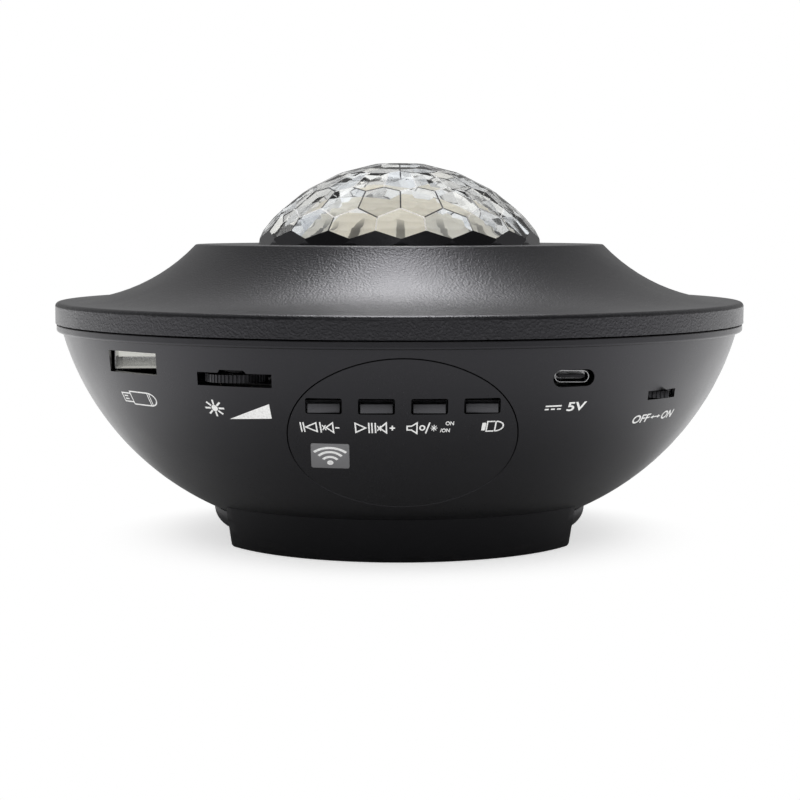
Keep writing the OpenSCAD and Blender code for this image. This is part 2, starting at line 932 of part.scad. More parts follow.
module base_cover() {
    rings = [[0, 1], [6, 6], [12, 12], [18, 18], [24, 24], [30, grille_n]];
    color("#202023")
    difference() {
        union() {
            rotate_extrude()
                base_profile();
            intersection() {
                rotate_extrude()
                    leg_profile();
                rotate([90, 0, 0])
                    translate([0, 0, -brim_r])
                        linear_extrude(2 * brim_r)
                            leg_outline();
            }
            ring_of(base_screw_ring, retainer_az)
                translate([0, 0, base_lift + 1])
                    cylinder(r = 4.4, h = floor_z - base_lift - 1);
        }
        ring_of(base_screw_ring, retainer_az) {
            cylinder(r = screw_r + loose, h = floor_z + 1);
            cylinder(r = head_r + 0.2, h = base_screw_seat);
        }
        for (ring = rings, i = [0:ring[1] - 1])
            rotate(i * 360 / ring[1])
                translate([ring[0], 0, 0])
                    cylinder(r = 1.1, h = floor_z);
        pad_arcs(0.15, pad_t + eps);
    }
}

// four arcs under the legs that take the foot pads
module pad_arcs(grow, h) {
    sweep = 26;
    for (a = [-90 - sweep - 6, -90 + 6, 90 - sweep - 6, 90 + 6])
        rotate(a - grow)
            rotate_extrude(angle = sweep + 2 * grow)
                translate([leg_in_r + 1 - grow, 0])
                    square([3 + 2 * grow, h]);
}

module foot_pads() {
    color("#101011")
    pad_arcs(0, pad_t);
}

module base_screws() {
    color("#8a8a8e")
    ring_of(base_screw_ring, retainer_az)
        translate([0, 0, base_screw_seat])
            screw(base_screw);
}

module housing_screws() {
    color("#8a8a8e")
    ring_of(post_ring_r, post_az)
        translate([0, 0, well_top])
            screw(post_screw);
}

// ---- loudspeaker ----

module speaker_frame() {
    z0 = base_lift + wall;
    color("#5c5c60")
    translate([0, 0, z0])
        rotate_extrude()
            difference() {
                polygon([[27, 0], [33.5, 0], [33.5, 1.6], [31, 1.6], [20, 13], [5, 13], [5, 11.4],
                         [19.2, 11.4], [29, 1.6], [27, 1.6]]);
                translate([0, -1])
                    square([9, 30]);
            }
}

module speaker_cone() {
    z0 = base_lift + wall;
    color("#1b1b1b")
    translate([0, 0, z0])
        rotate_extrude()
            polygon([[0, 8], [8, 8], [26.5, 0.8], [26.8, 0], [26.8, 1.2], [8.6, 9], [0, 9]]);
}

module speaker_magnet() {
    color("#3c3c40")
    translate([0, 0, base_lift + wall + 13])
        cylinder(r = 17, h = 8);
}

// ---- dome ----

// everything outside one facet plane: lean above the horizon, heading, distance from the centre
module facet_cut(lean, heading, distance, size) {
    rotate([0, 0, heading])
        rotate([0, -lean, 0])
            translate([distance, -size / 2, -size / 2])
                cube([facet_cut_t, size, size]);
}

module dome_facets() {
    translate([0, 0, dome_c]) {
        for (row = [0:facet_rows - 1])
            let (n = row == facet_rows - 1 ? facet_n / 2 : facet_n)
            for (i = [0:n - 1])
                facet_cut(facet_row_0 + row * facet_row_step,
                          -90 + (i + (row % 2) / 2) * 360 / n, dome_r, facet_cut_w);
        facet_cut(90, 0, dome_r, facet_cut_w);
        for (i = [0:facet_n - 1])
            facet_cut(skirt_tilt, -90 + (i + 0.5) * 360 / facet_n, skirt_distance(), skirt_cut_w);
    }
}

// distance of the skirt facets, so that their tips reach skirt_apex_z
function skirt_distance() =
    let (h = skirt_apex_z - dome_c,
         r = (dome_r - h * sin(facet_row_0)) / cos(facet_row_0) / cos(180 / facet_n))
    r * cos(skirt_tilt) + h * sin(skirt_tilt);

module crystal_dome() {
    color([0.82, 0.85, 0.9, 0.45])
    difference() {
        union() {
            difference() {
                intersection() {
                    translate([0, 0, deck_z])
                        cylinder(r = neck_r, h = dome_r);
                    translate([0, 0, dome_c])
                        sphere(r = dome_r + facet_blank);
                }
                dome_facets();
            }
            translate([0, 0, deck_under - eps])
                cylinder(r = neck_r - 0.3, h = wall + 2 * eps);
            translate([0, 0, deck_under - flange_t])
                cylinder(r = flange_r, h = flange_t);
        }
        translate([0, 0, dome_c])
            sphere(r = dome_r - dome_wall);
        translate([0, 0, deck_under - flange_t - 1])
            cylinder(r = neck_r - dome_wall - 0.6, h = flange_t + 2);
    }
}

module dome_retainer() {
    color("#2b2b2e")
    translate([0, 0, retainer_z])
        difference() {
            union() {
                cylinder(r = flange_r, h = retainer_t);
                ring_of(retainer_boss_r, retainer_az)
                    cylinder(r = boss_r, h = retainer_t);
                ring_of(flange_r, retainer_az)
                    translate([-3, -boss_r, 0])
                        cube([retainer_boss_r - flange_r + 3, 2 * boss_r, retainer_t]);
            }
            translate([0, 0, -1])
                cylinder(r = neck_r - dome_wall, h = retainer_t + 2);
            ring_of(retainer_boss_r, retainer_az)
                translate([0, 0, -1])
                    cylinder(r = screw_r + loose, h = retainer_t + 2);
        }
}

module retainer_screws() {
    color("#8a8a8e")
    ring_of(retainer_boss_r, retainer_az)
        translate([0, 0, retainer_z])
            screw(retainer_t + flange_t);
}

// ---- light deck and drive ----

module light_deck() {
    color("#161618")
    difference() {
        union() {
            translate([0, 0, deck_plate_z])
                cylinder(r = deck_boss_r + boss_r, h = deck_plate_t);
            translate([0, 0, deck_plate_z + deck_plate_t - eps])
                cylinder(r = collar_r, h = collar_top - deck_plate_z - deck_plate_t);
            translate([0, 0, deck_plate_z + deck_plate_t - eps])
                cylinder(r = collar_r + 2.5, h = fit_gap);
        }
        translate([0, 0, deck_plate_z - 1])
            cylinder(r = lamp_hole_r, h = far);
        translate([0, 0, deck_plate_z + deck_plate_t])
            cylinder(r = collar_r - 2.4, h = far);
        ring_of(post_ring_r, post_az)
            translate([0, 0, deck_plate_z - 1])
                cylinder(r = post_r + fit_gap, h = far);
        ring_of(deck_boss_r, deck_boss_az)
            translate([0, 0, deck_plate_z - 1])
                cylinder(r = screw_r + loose, h = far);
        translate([0, shaft_y, deck_plate_z - 1])
            cylinder(r = shaft_r + 1, h = far);
        for (s = [-1, 1])
            translate([s * motor_ear, shaft_y, deck_plate_z - 1])
                cylinder(r = screw_r + loose, h = far);
        ring_of(sink_screw_ring, sink_screw_az)
            translate([0, 0, deck_plate_z - 1])
                cylinder(r = screw_r + loose, h = deck_plate_t + 2);
    }
}

module deck_screws() {
    color("#8a8a8e")
    ring_of(deck_boss_r, deck_boss_az)
        translate([0, 0, deck_plate_z])
            screw(deck_screw);
}

module lens_gear() {
    color("#e6e3d6")
    translate([0, 0, gear_z])
        difference() {
            linear_extrude(gear_w)
                polygon(gear_points(lens_teeth));
            translate([0, 0, -1])
                cylinder(r = collar_r + running_fit, h = gear_w + 2);
        }
}

module drive_pinion() {
    color("#e6e3d6")
    translate([0, shaft_y, gear_z])
        rotate(-90 + 180 / pinion_teeth)
            difference() {
                linear_extrude(gear_w)
                    polygon(gear_points(pinion_teeth));
                translate([0, 0, -1])
                    cylinder(r = shaft_r, h = gear_w + 2);
            }
}

module motor_shaft() {
    color("#c8c8cc")
    translate([0, shaft_y, motor_top - shaft_in])
        cylinder(r = shaft_r, h = gear_z + gear_w + 1 - motor_top + shaft_in);
}

module gear_motor() {
    color("#8d8f94")
    translate([0, shaft_y, 0])
        difference() {
            union() {
                translate([0, 0, motor_top - gearbox_h])
                    cylinder(r = motor_r, h = gearbox_h);
                translate([0, 0, motor_top - gearbox_h - motor_h])
                    cylinder(r = motor_r - 2.5, h = motor_h + 1);
                translate([-motor_ear - motor_ear_w / 2, -motor_ear_w / 2, motor_top - motor_ear_t])
                    cube([2 * motor_ear + motor_ear_w, motor_ear_w, motor_ear_t]);
            }
            translate([0, 0, motor_top - shaft_in - fit_gap])
                cylinder(r = shaft_r + running_fit, h = far);
            for (s = [-1, 1])
                translate([s * motor_ear, 0, motor_top - 2])
                    cylinder(r = screw_r + loose, h = far);
        }
}

module motor_screws() {
    color("#8a8a8e")
    for (s = [-1, 1])
        translate([s * motor_ear, shaft_y, motor_top - motor_ear_t])
            screw(motor_ear_t + deck_plate_t);
}

module gear_clip() {
    color("#b0b0b4")
    translate([0, 0, gear_z + gear_w + fit_gap])
        tube(collar_r + 1.3, collar_r, clip_t);
}

// dome lens with rings of round ripples round its outside
module ripple_lens() {
    ripples = 11;
    color([0.8, 0.84, 0.88, 0.5])
    rotate_extrude()
        difference() {
            intersection() {
                translate([0, lens_c])
                    circle(lens_r);
                translate([0, lens_foot])
                    square([lens_r, lens_r]);
            }
            translate([0, lens_c])
                circle(lens_r - lens_wall);
            for (i = [1:ripples])
                translate([(lens_r + 2.1) * cos(20 + i * 6), lens_c + (lens_r + 2.1) * sin(20 + i * 6)])
                    circle(2.8);
        }
}

// ---- lamp ----

module led_board() {
    color("#e4e6e2")
    translate([0, 0, deck_plate_z - board_t])
        difference() {
            cylinder(r = led_board_r, h = board_t);
            translate([0, 0, -1])
                cylinder(r = laser_r + loose, h = board_t + 2);
            ring_of(sink_screw_ring, sink_screw_az)
                translate([0, 0, -1])
                    cylinder(r = screw_r + loose, h = board_t + 2);
        }
}

module led_emitters() {
    leds = 8;
    color("#f4e9b0")
    ring_of(led_ring_r, [for (i = [0:leds - 1]) i * 360 / leds])
        translate([0, 0, deck_plate_z]) {
            translate([-1.75, -1.75, 0])
                cube([3.5, 3.5, 0.8]);
            translate([0, 0, 0.8 - eps])
                cylinder(r = 1.3, h = 0.5);
        }
}

module heat_sink() {
    z1 = deck_plate_z - board_t;
    color("#a4a7ab")
    difference() {
        intersection() {
            translate([0, 0, z1 - sink_t - sink_h])
                cylinder(r = led_board_r, h = sink_t + sink_h);
            union() {
                translate([-far, -far, z1 - sink_t])
                    cube([2 * far, 2 * far, sink_t]);
                for (i = [-3:3])
                    translate([i * fin_pitch - fin_t / 2, -fin_len / 2, z1 - sink_t - sink_h])
                        cube([fin_t, fin_len, sink_h + eps]);
            }
        }
        translate([0, 0, z1 - far])
            cylinder(r = laser_r + loose, h = 2 * far);
        ring_of(sink_screw_ring, sink_screw_az) {
            translate([0, 0, z1 - far])
                cylinder(r = screw_r + loose, h = 2 * far);
            translate([0, 0, z1 - sink_t - sink_h])
                cylinder(r = head_r + fit_gap, h = sink_h);
        }
    }
}

module heat_sink_screws() {
    color("#8a8a8e")
    ring_of(sink_screw_ring, sink_screw_az)
        translate([0, 0, deck_plate_z - board_t - sink_t])
            screw(board_t + sink_t + deck_plate_t - fit_gap);
}

module laser_module() {
    color("#b58f3c")
    translate([0, 0, deck_plate_z - board_t - laser_under])
        difference() {
            cylinder(r = laser_r, h = laser_h);
            translate([0, 0, laser_h - 3])
                cylinder(r = laser_r - 2.1, h = 4);
        }
}

upper_shell();
lower_bowl();
control_panel();
ir_window();
button(button_x[0]);  // button_previous
button(button_x[1]);  // button_play
button(button_x[2]);  // button_light
button(button_x[3]);  // button_source
tact_switches();
brightness_wheel();
potentiometer();
power_knob();
power_switch();
usb_a_shell();
usb_a_tongue();
usb_c_shell();
usb_c_tongue();
ir_receiver();
port_board();
port_board_screws();
main_board();
main_board_parts();
main_board_screws();
base_cover();
foot_pads();
base_screws();
housing_screws();
speaker_frame();
speaker_cone();
speaker_magnet();
crystal_dome();
dome_retainer();
retainer_screws();
light_deck();
deck_screws();
ripple_lens();
lens_gear();
gear_clip();
drive_pinion();
motor_shaft();
gear_motor();
motor_screws();
led_board();
led_emitters();
heat_sink();
heat_sink_screws();
laser_module();
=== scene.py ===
"""Star night light projector: the looks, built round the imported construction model.

Metres, +Z up, the controls face -Y. Sizes in the classes are millimetres unless they say otherwise.
"""

import logging
import math
from dataclasses import dataclass, field
from enum import Enum, IntEnum

import bmesh
import bpy
import numpy as np
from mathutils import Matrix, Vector


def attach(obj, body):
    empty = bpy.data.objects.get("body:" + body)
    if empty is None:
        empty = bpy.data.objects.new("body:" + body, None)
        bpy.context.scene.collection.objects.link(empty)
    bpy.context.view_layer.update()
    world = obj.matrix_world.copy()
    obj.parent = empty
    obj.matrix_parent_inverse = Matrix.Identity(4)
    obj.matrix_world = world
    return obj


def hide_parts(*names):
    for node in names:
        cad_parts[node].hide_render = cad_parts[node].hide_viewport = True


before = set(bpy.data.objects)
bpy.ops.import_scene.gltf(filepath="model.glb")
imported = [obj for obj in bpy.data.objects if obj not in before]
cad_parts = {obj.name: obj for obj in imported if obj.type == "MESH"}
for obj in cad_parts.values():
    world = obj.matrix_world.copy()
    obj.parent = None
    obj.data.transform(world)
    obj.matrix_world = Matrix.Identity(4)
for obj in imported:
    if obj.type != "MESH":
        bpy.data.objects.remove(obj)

LOG = logging.getLogger("star_projector")
MM = 0.001
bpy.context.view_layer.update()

Number = float | int
Colour = tuple[float, float, float]
Point2 = tuple[float, float]
Point3 = tuple[float, float, float]


# ---- node trees ----


@dataclass(frozen=True, eq=False)
class Value:
    """One output socket. Arithmetic on it adds Math nodes to its tree."""

    graph: "Graph"
    socket: bpy.types.NodeSocket

    def __add__(self, other: "Operand") -> "Value":
        """Sum."""
        return self.graph.math("ADD", self, other)

    def __radd__(self, other: "Operand") -> "Value":
        """Reflected sum."""
        return self.graph.math("ADD", other, self)

    def __sub__(self, other: "Operand") -> "Value":
        """Difference."""
        return self.graph.math("SUBTRACT", self, other)

    def __rsub__(self, other: "Operand") -> "Value":
        """Reflected difference."""
        return self.graph.math("SUBTRACT", other, self)

    def __mul__(self, other: "Operand") -> "Value":
        """Product."""
        return self.graph.math("MULTIPLY", self, other)

    def __rmul__(self, other: "Operand") -> "Value":
        """Reflected product."""
        return self.graph.math("MULTIPLY", other, self)

    def __truediv__(self, other: "Operand") -> "Value":
        """Quotient."""
        return self.graph.math("DIVIDE", self, other)

    def __rtruediv__(self, other: "Operand") -> "Value":
        """Reflected quotient."""
        return self.graph.math("DIVIDE", other, self)

    def __mod__(self, other: "Operand") -> "Value":
        """Remainder, always positive."""
        return self.graph.math("FLOORED_MODULO", self, other)

    def __pow__(self, other: "Operand") -> "Value":
        """Power."""
        return self.graph.math("POWER", self, other)

    def __gt__(self, other: "Operand") -> "Value":
        """1 where this value is the greater."""
        return self.graph.math("GREATER_THAN", self, other)

    def __lt__(self, other: "Operand") -> "Value":
        """1 where this value is the smaller."""
        return self.graph.math("LESS_THAN", self, other)

    def __abs__(self) -> "Value":
        """Absolute value."""
        return self.graph.math("ABSOLUTE", self)


Operand = Value | Number


class Graph:
    """A node tree that is filled through one method, with maths as expressions."""

    def __init__(self, tree: bpy.types.NodeTree) -> None:
        """Wraps a tree.

        Args:
            tree: a shader or geometry node tree.
        """
        self.tree = tree

    def add(self, kind: str, settings: dict | None = None, **inputs: object) -> bpy.types.Node:
        """Adds a node.

        Args:
            kind: the node's type name.
            settings: attributes of the node, set before its sockets are touched.
            inputs: values or links for its sockets, by name with _ for a space, or _0, _1 by place.

        Returns:
            The new node.
        """
        node = self.tree.nodes.new(kind)
        for name, value in (settings or {}).items():
            setattr(node, name, value)
        for name, value in inputs.items():
            key = int(name[1:]) if name[0] == "_" else name.replace("_", " ")
            self.feed(node.inputs[key], value)
        return node

    def feed(self, socket: bpy.types.NodeSocket, value: object) -> None:
        """Links a Value, a list of Values or a node's first output to a socket, or sets a constant.

        Args:
            socket: the input socket.
            value: a Value, a node whose first output is meant, a list of these, or a constant.
        """
        if isinstance(value, list):
            for one in value:
                self.feed(socket, one)
        elif isinstance(value, Value):
            self.tree.links.new(value.socket, socket)
        elif isinstance(value, bpy.types.Node):
            self.tree.links.new(value.outputs[0], socket)
        else:
            socket.default_value = value

    def out(self, node: bpy.types.Node, name: str | int = 0) -> Value:
        """An output of a node as a Value."""
        return Value(self, node.outputs[name])

    def math(self, operation: str, *operands: Operand, clamp: bool = False) -> Value:
        """A Math node on up to three operands.

        Args:
            operation: the node's operation.
            operands: values or numbers, in socket order.
            clamp: whether the result is held to 0..1.

        Returns:
            The node's result.
        """
        node = self.tree.nodes.new("ShaderNodeMath")
        node.operation = operation
        node.use_clamp = clamp
        for place, operand in enumerate(operands):
            self.feed(node.inputs[place], operand)
        return self.out(node)

    def vector(self, operation: str, *operands: object) -> bpy.types.Node:
        """A Vector Math node on up to three operands.

        Args:
            operation: the node's operation.
            operands: vectors, nodes or values, in socket order.

        Returns:
            The node.
        """
        node = self.tree.nodes.new("ShaderNodeVectorMath")
        node.operation = operation
        for place, operand in enumerate(operands):
            self.feed(node.inputs[place], operand)
        return node


class ShaderGraph(Graph):
    """The node tree of one surface material, in Object coordinates."""

    def __init__(self, material: bpy.types.Material) -> None:
        """Starts an empty tree with its output and Principled shader.

        Args:
            material: the material whose tree is taken over.
        """
        material.use_nodes = True
        super().__init__(material.node_tree)
        self.tree.nodes.clear()
        self.surface = self.add("ShaderNodeOutputMaterial")
        self.shader = self.add("ShaderNodeBsdfPrincipled")
        self.feed(self.surface.inputs["Surface"], self.shader)
        self.place = self.out(self.add("ShaderNodeTexCoord"), "Object")
        parts = self.add("ShaderNodeSeparateXYZ", Vector=self.place)
        self.x, self.y, self.z = (self.out(parts, axis) for axis in "XYZ")

    def set(self, **sockets: object) -> None:
        """Sets or links sockets of the Principled shader, _ standing for a space."""
        for name, value in sockets.items():
            self.feed(self.shader.inputs[name.replace("_", " ")], value)

    def noise(self, size: float, detail: float = 2.0, stretch: Colour = (1, 1, 1)) -> Value:
        """Noise whose grains are about size millimetres, stretched along each axis.

        Args:
            size: width of a grain.
            detail: octaves of finer grain.
            stretch: how much longer a grain is along each axis.

        Returns:
            The noise, from 0 to 1.
        """
        scale = tuple(1 / (size * MM * s) for s in stretch)
        place = self.add("ShaderNodeMapping", {"vector_type": "POINT"}, Vector=self.place, Scale=scale)
        return self.out(self.add("ShaderNodeTexNoise", Vector=place, Scale=1.0, Detail=detail), 0)

    def cells(self, size: float, randomness: float = 1.0) -> bpy.types.Node:
        """Voronoi cells of about size millimetres."""
        return self.add("ShaderNodeTexVoronoi", Vector=self.place, Scale=1 / (size * MM), Randomness=randomness)

    def mix(self, factor: Operand, low: Colour | Value, high: Colour | Value) -> Value:
        """A colour between two colours.

        Args:
            factor: 0 for low, 1 for high.
            low: the first colour.
            high: the second colour.

        Returns:
            The mixed colour.
        """
        node = self.tree.nodes.new("ShaderNodeMix")
        node.data_type = "RGBA"
        node.clamp_factor = True
        self.feed(node.inputs["Factor"], factor)
        for name, value in (("A", low), ("B", high)):
            socket = next(s for s in node.inputs if s.name == name and s.type == "RGBA")
            self.feed(socket, value if isinstance(value, Value) else (*value, 1))
        return Value(self, next(s for s in node.outputs if s.type == "RGBA"))

    def ramp(self, value: Value, low: float, high: float) -> Value:
        """Value taken from low..high to 0..1 with soft ends."""
        node = self.add(
            "ShaderNodeMapRange", {"interpolation_type": "SMOOTHSTEP"}, Value=value, From_Min=low, From_Max=high
        )
        return self.out(node)

    def relief(self, height: Value, depth: float, strength: float = 1.0) -> None:
        """Bumps the surface by a height field, depth millimetres from 0 to 1."""
        bump = self.add("ShaderNodeBump", Strength=strength, Distance=depth * MM, Height=height)
        self.set(Normal=self.out(bump))

    def radius(self, centre: Point2 = (0, 0)) -> Value:
        """Distance in metres from an upright axis whose place is given in millimetres."""
        dx, dy = self.x - centre[0] * MM, self.y - centre[1] * MM
        return (dx * dx + dy * dy) ** 0.5


# ---- finishes ----


def shade(colour: Colour, factor: float) -> Colour:
    """A colour made darker or lighter by one factor."""
    return tuple(c * factor for c in colour)


@dataclass(frozen=True)
class Finish:
    """A surface finish; each kind paints its own material."""

    name: str

    def paint(self, g: ShaderGraph) -> None:
        """Fills the material's tree.

        Args:
            g: the tree of the new material.
        """
        raise NotImplementedError

    def material(self) -> bpy.types.Material:
        """The finish's material, made at its first use.

        Returns:
            The material.
        """
        made = bpy.data.materials.get(self.name)
        if made is None:
            made = bpy.data.materials.new(self.name)
            self.paint(ShaderGraph(made))
        return made


@dataclass(frozen=True)
class MouldedPlastic(Finish):
    """Injection-moulded plastic with a spark-eroded grain."""

    colour: Colour
    roughness: float = 0.42
    grain: float = 0.35
    depth: float = 0.012
    # painted sparkle: how much lighter the grain peaks are coloured, in place of glints
    painted_sparkle: float = 0.5
    shine: float = 0.5
    # lift: strength of a painted glow, the part emitting its own colour though it is no lamp
    lift: float = 0.0

    def paint(self, g: ShaderGraph) -> None:
        """Grain in the relief, painted sparkle (a lighter colour on its peaks in place of glints), slow changes
        of gloss, and a lift that is a painted glow of the part's own colour.

        Args:
            g: the tree of the new material.
        """
        grain = g.noise(self.grain, 1.0)
        slow = g.noise(14, 3.0)
        peaks = g.ramp(grain, 0.58, 0.74)
        # painted sparkle: the colour that grain peaks are lightened to, standing in for glints
        light = tuple(min(1.0, c * 1.9 + 0.006) for c in self.colour)
        dark = shade(self.colour, 0.78)
        body = g.mix(slow, dark, shade(self.colour, 1.2))
        g.set(
            Base_Color=g.mix(peaks * self.painted_sparkle, body, light),
            Roughness=self.roughness + (slow - 0.5) * 0.1 - peaks * 0.06,
            Specular_IOR_Level=self.shine,
            Specular_Tint=(0.93, 0.92, 1.0, 1),
            # painted glow: the part emits its own colour at the lift's strength
            Emission_Color=(*self.colour, 1),
            Emission_Strength=self.lift,
        )
        g.relief(grain, self.depth)


@dataclass(frozen=True)
class ClearMoulding(Finish):
    """Clear polished acrylic."""

    tint: Colour = (0.97, 0.98, 1.0)
    roughness: float = 0.0
    clearness: float = 1.0
    shine: float = 0.05

    def paint(self, g: ShaderGraph) -> None:
        """Almost colourless or milky, with the faint flow marks of the mould.

        Args:
            g: the tree of the new material.
        """
        flow = g.noise(9, 2.0)
        bright = tuple(min(1.0, c * 1.06) for c in self.tint)
        g.set(
            Base_Color=g.mix(flow, self.tint, bright),
            Roughness=self.roughness + g.ramp(flow, 0.55, 0.8) * 0.02,
            Transmission_Weight=self.clearness,
            Specular_IOR_Level=self.shine,
            IOR=1.49,
        )
        g.relief(flow, 0.02, 0.35)


@dataclass(frozen=True)
class CutFacets(ClearMoulding):
    """Polished facets whose tint is painted facet by facet, to stand in for the dark and bright parts of the
    inside that each would pass.
    """

    dimmest: float = 0.4

    def paint(self, g: ShaderGraph) -> None:
        """Clear, with each facet's own painted depth of tone for the inside it would show, and a painted tint
        from cool to warm for coloured glints.

        Args:
            g: the tree of the new material.
        """
        super().paint(g)
        way = g.out(g.add("ShaderNodeNewGeometry"), "True Normal")
        facet = g.vector("SNAP", g.vector("ADD", way, (0.017, 0.023, 0.011)), (0.06, 0.06, 0.06))
        chance = g.add("ShaderNodeTexWhiteNoise", {"noise_dimensions": "3D"}, Vector=facet)
        # painted light: each facet's tint runs at random from near black to clear, in place of the inside it
        # would show; its hue, from cool to warm, stands in for coloured glints
        tone = self.dimmest + (1 - self.dimmest) * g.out(chance, "Value") ** 0.8
        hue = g.mix(g.out(g.add("ShaderNodeSeparateColor", Color=g.out(chance, "Color")), "Green"),
                    (0.93, 0.91, 0.84), (0.9, 0.95, 1.0))
        g.set(Base_Color=g.mix(tone, (0.02, 0.02, 0.022), hue))


@dataclass(frozen=True)
class FacetEdges(ClearMoulding):
    """The narrow rounded edges between facets, some painted dark and some painted bright as glints."""

    def paint(self, g: ShaderGraph) -> None:
        """Each edge has a painted tone of its own by its direction, from a dark line to a bright glint.

        Args:
            g: the tree of the new material.
        """
        super().paint(g)
        way = g.out(g.add("ShaderNodeNewGeometry"), "True Normal")
        edge = g.vector("SNAP", g.vector("ADD", way, (0.013, 0.007, 0.019)), (0.04, 0.04, 0.04))
        chance = g.out(g.add("ShaderNodeTexWhiteNoise", {"noise_dimensions": "3D"}, Vector=edge), "Value")
        # painted light: edge tones run at random from near black to white, in place of the dark lines and
        # glints of refraction
        g.set(Base_Color=g.mix(g.ramp(chance, 0.35, 0.75), (0.03, 0.03, 0.035), (1, 1, 1)))


@dataclass(frozen=True)
class BarredLens(ClearMoulding):
    """Milky lens with upright dark bars and a painted glow of its own colour."""

    bars: int = 14
    half_width: float = 0.13
    phase: float = 0.0
    bar_top: float = 93
    painted_glow: float = 0.35

    def paint(self, g: ShaderGraph) -> None:
        """Milky between the bars, which differ in depth; the whole lens emits its colour as a painted glow.

        Args:
            g: the tree of the new material.
        """
        super().paint(g)
        turn = g.math("ARCTAN2", g.y, g.x) * (self.bars / math.tau) + self.phase
        off = g.math("ABSOLUTE", g.math("FRACT", turn) - 0.5)
        chance = g.add("ShaderNodeTexWhiteNoise", {"noise_dimensions": "1D"}, W=g.math("FLOOR", turn))
        bar = (1 - g.ramp(off, self.half_width * 0.8, self.half_width)) * (0.55 + 0.45 * g.out(chance, "Value"))
        bar = bar * (1 - g.ramp(g.z, (self.bar_top - 4) * MM, self.bar_top * MM))
        colour = g.mix(bar, self.tint, (0.015, 0.015, 0.017))
        # painted glow: the lens emits its own colour, bars included, though it is no lamp
        g.set(Base_Color=colour, Emission_Color=colour, Emission_Strength=self.painted_glow)


@dataclass(frozen=True)
class Metal(Finish):
    """Sheet, turned or cast metal with fine tool marks."""

    colour: Colour
    roughness: float = 0.28
    marks: Colour = (1, 1, 8)
    pitch: float = 0.15

    def paint(self, g: ShaderGraph) -> None:
        """Fine streaks in colour, gloss and relief, and faint tarnish.

        Args:
            g: the tree of the new material.
        """
        streak = g.noise(self.pitch, 2.0, self.marks)
        tarnish = g.ramp(g.noise(4, 4.0), 0.45, 0.75)
        dull = shade(self.colour, 0.72)
        g.set(
            Base_Color=g.mix(tarnish * 0.5, g.mix(streak, shade(self.colour, 0.88), self.colour), dull),
            Roughness=self.roughness + (streak - 0.5) * 0.16 + tarnish * 0.08,
            Metallic=1.0,
        )
        g.relief(streak, 0.004)


@dataclass(frozen=True)
class Ink(Finish):
    """Pad-printed ink, slightly thin in places."""

    colour: Colour

    def paint(self, g: ShaderGraph) -> None:
        """Matt ink whose cover varies a little.

        Args:
            g: the tree of the new material.
        """
        cover = g.noise(0.5, 3.0)
        g.set(
            Base_Color=g.mix(g.ramp(cover, 0.25, 0.6), shade(self.colour, 0.8), self.colour),
            Roughness=0.5 + cover * 0.15,
        )
        g.relief(cover, 0.004)


@dataclass(frozen=True)
class SmokedWindow(Finish):
    """Smoked infrared window with a satin face."""

    colour: Colour = (0.16, 0.16, 0.165)

    def paint(self, g: ShaderGraph) -> None:
        """Grey whose colour lightens towards its upper edge as painted light, with a fine stipple.

        Args:
            g: the tree of the new material.
        """
        stipple = g.noise(0.25, 2.0)
        # painted light: the colour is lightened towards the top edge, as if lit from above
        high = g.ramp(g.z, 28 * MM, 37 * MM)
        g.set(
            Base_Color=g.mix(high * 0.6 + stipple * 0.3, self.colour, shade(self.colour, 1.35)),
            Roughness=0.38 + stipple * 0.1,
        )
        g.relief(stipple, 0.004)


@dataclass(frozen=True)
class Rubber(Finish):
    """Matt rubber with dust in its pores."""

    colour: Colour = (0.012, 0.012, 0.013)

    def paint(self, g: ShaderGraph) -> None:
        """Pores, and paler dust on what stands proud.

        Args:
            g: the tree of the new material.
        """
        pores = g.noise(0.4, 4.0)
        g.set(
            Base_Color=g.mix(g.ramp(pores, 0.4, 0.7), self.colour, shade(self.colour, 3)),
            Roughness=0.82 - pores * 0.12,
        )
        g.relief(pores, 0.03)


@dataclass(frozen=True)
class CircuitBoard(Finish):
    """Solder mask over copper tracks, with plated pads."""

    mask: Colour = (0.012, 0.1, 0.045)
    copper: Colour = (0.03, 0.2, 0.08)
    pad: Colour = (0.55, 0.52, 0.45)

    def paint(self, g: ShaderGraph) -> None:
        """Tracks from two brick patterns, pads on a grid of dots.

        Args:
            g: the tree of the new material.
        """
        tracks = g.add(
            "ShaderNodeTexBrick",
            {"offset": 0.37},
            Vector=g.place,
            Scale=60.0,
            Mortar_Size=0.012,
            Mortar_Smooth=0.0,
            Brick_Width=0.31,
            Row_Height=0.12,
        )
        lines = g.out(tracks, "Fac")
        dots = g.cells(2.6, 0.35)
        pads = g.ramp(g.out(dots, "Distance"), 0.2, 0.16)
        body = g.mix(lines, self.mask, self.copper)
        g.set(
            Base_Color=g.mix(pads, body, self.pad),
            Roughness=0.34 - lines * 0.06 + g.noise(3, 3.0) * 0.08,
            Metallic=pads * 0.8,
        )
        g.relief(lines + pads, 0.03)


@dataclass(frozen=True)
class BoardParts(Finish):
    """The parts on the main board: black packages, sleeved cans and ivory plugs, told apart by place."""

    def paint(self, g: ShaderGraph) -> None:
        """One colour for each kind of part, with a moulded grain.

        Args:
            g: the tree of the new material.
        """
        grain = g.noise(0.3, 2.0)
        cans = g.x < -18 * MM
        tops = cans * (g.z > 42.4 * MM) * (g.radius((-24, 8)) < 3.4 * MM)
        plugs = g.y > 12.5 * MM
        body = g.mix(grain, (0.012, 0.012, 0.013), (0.022, 0.022, 0.024))
        body = g.mix(cans, body, (0.03, 0.04, 0.07))
        body = g.mix(plugs, body, (0.78, 0.74, 0.62))
        g.set(
            Base_Color=g.mix(tops, body, (0.6, 0.6, 0.62)),
            Roughness=0.5 - cans * 0.18 + grain * 0.1,
            Metallic=tops,
        )
        g.relief(grain, 0.01)


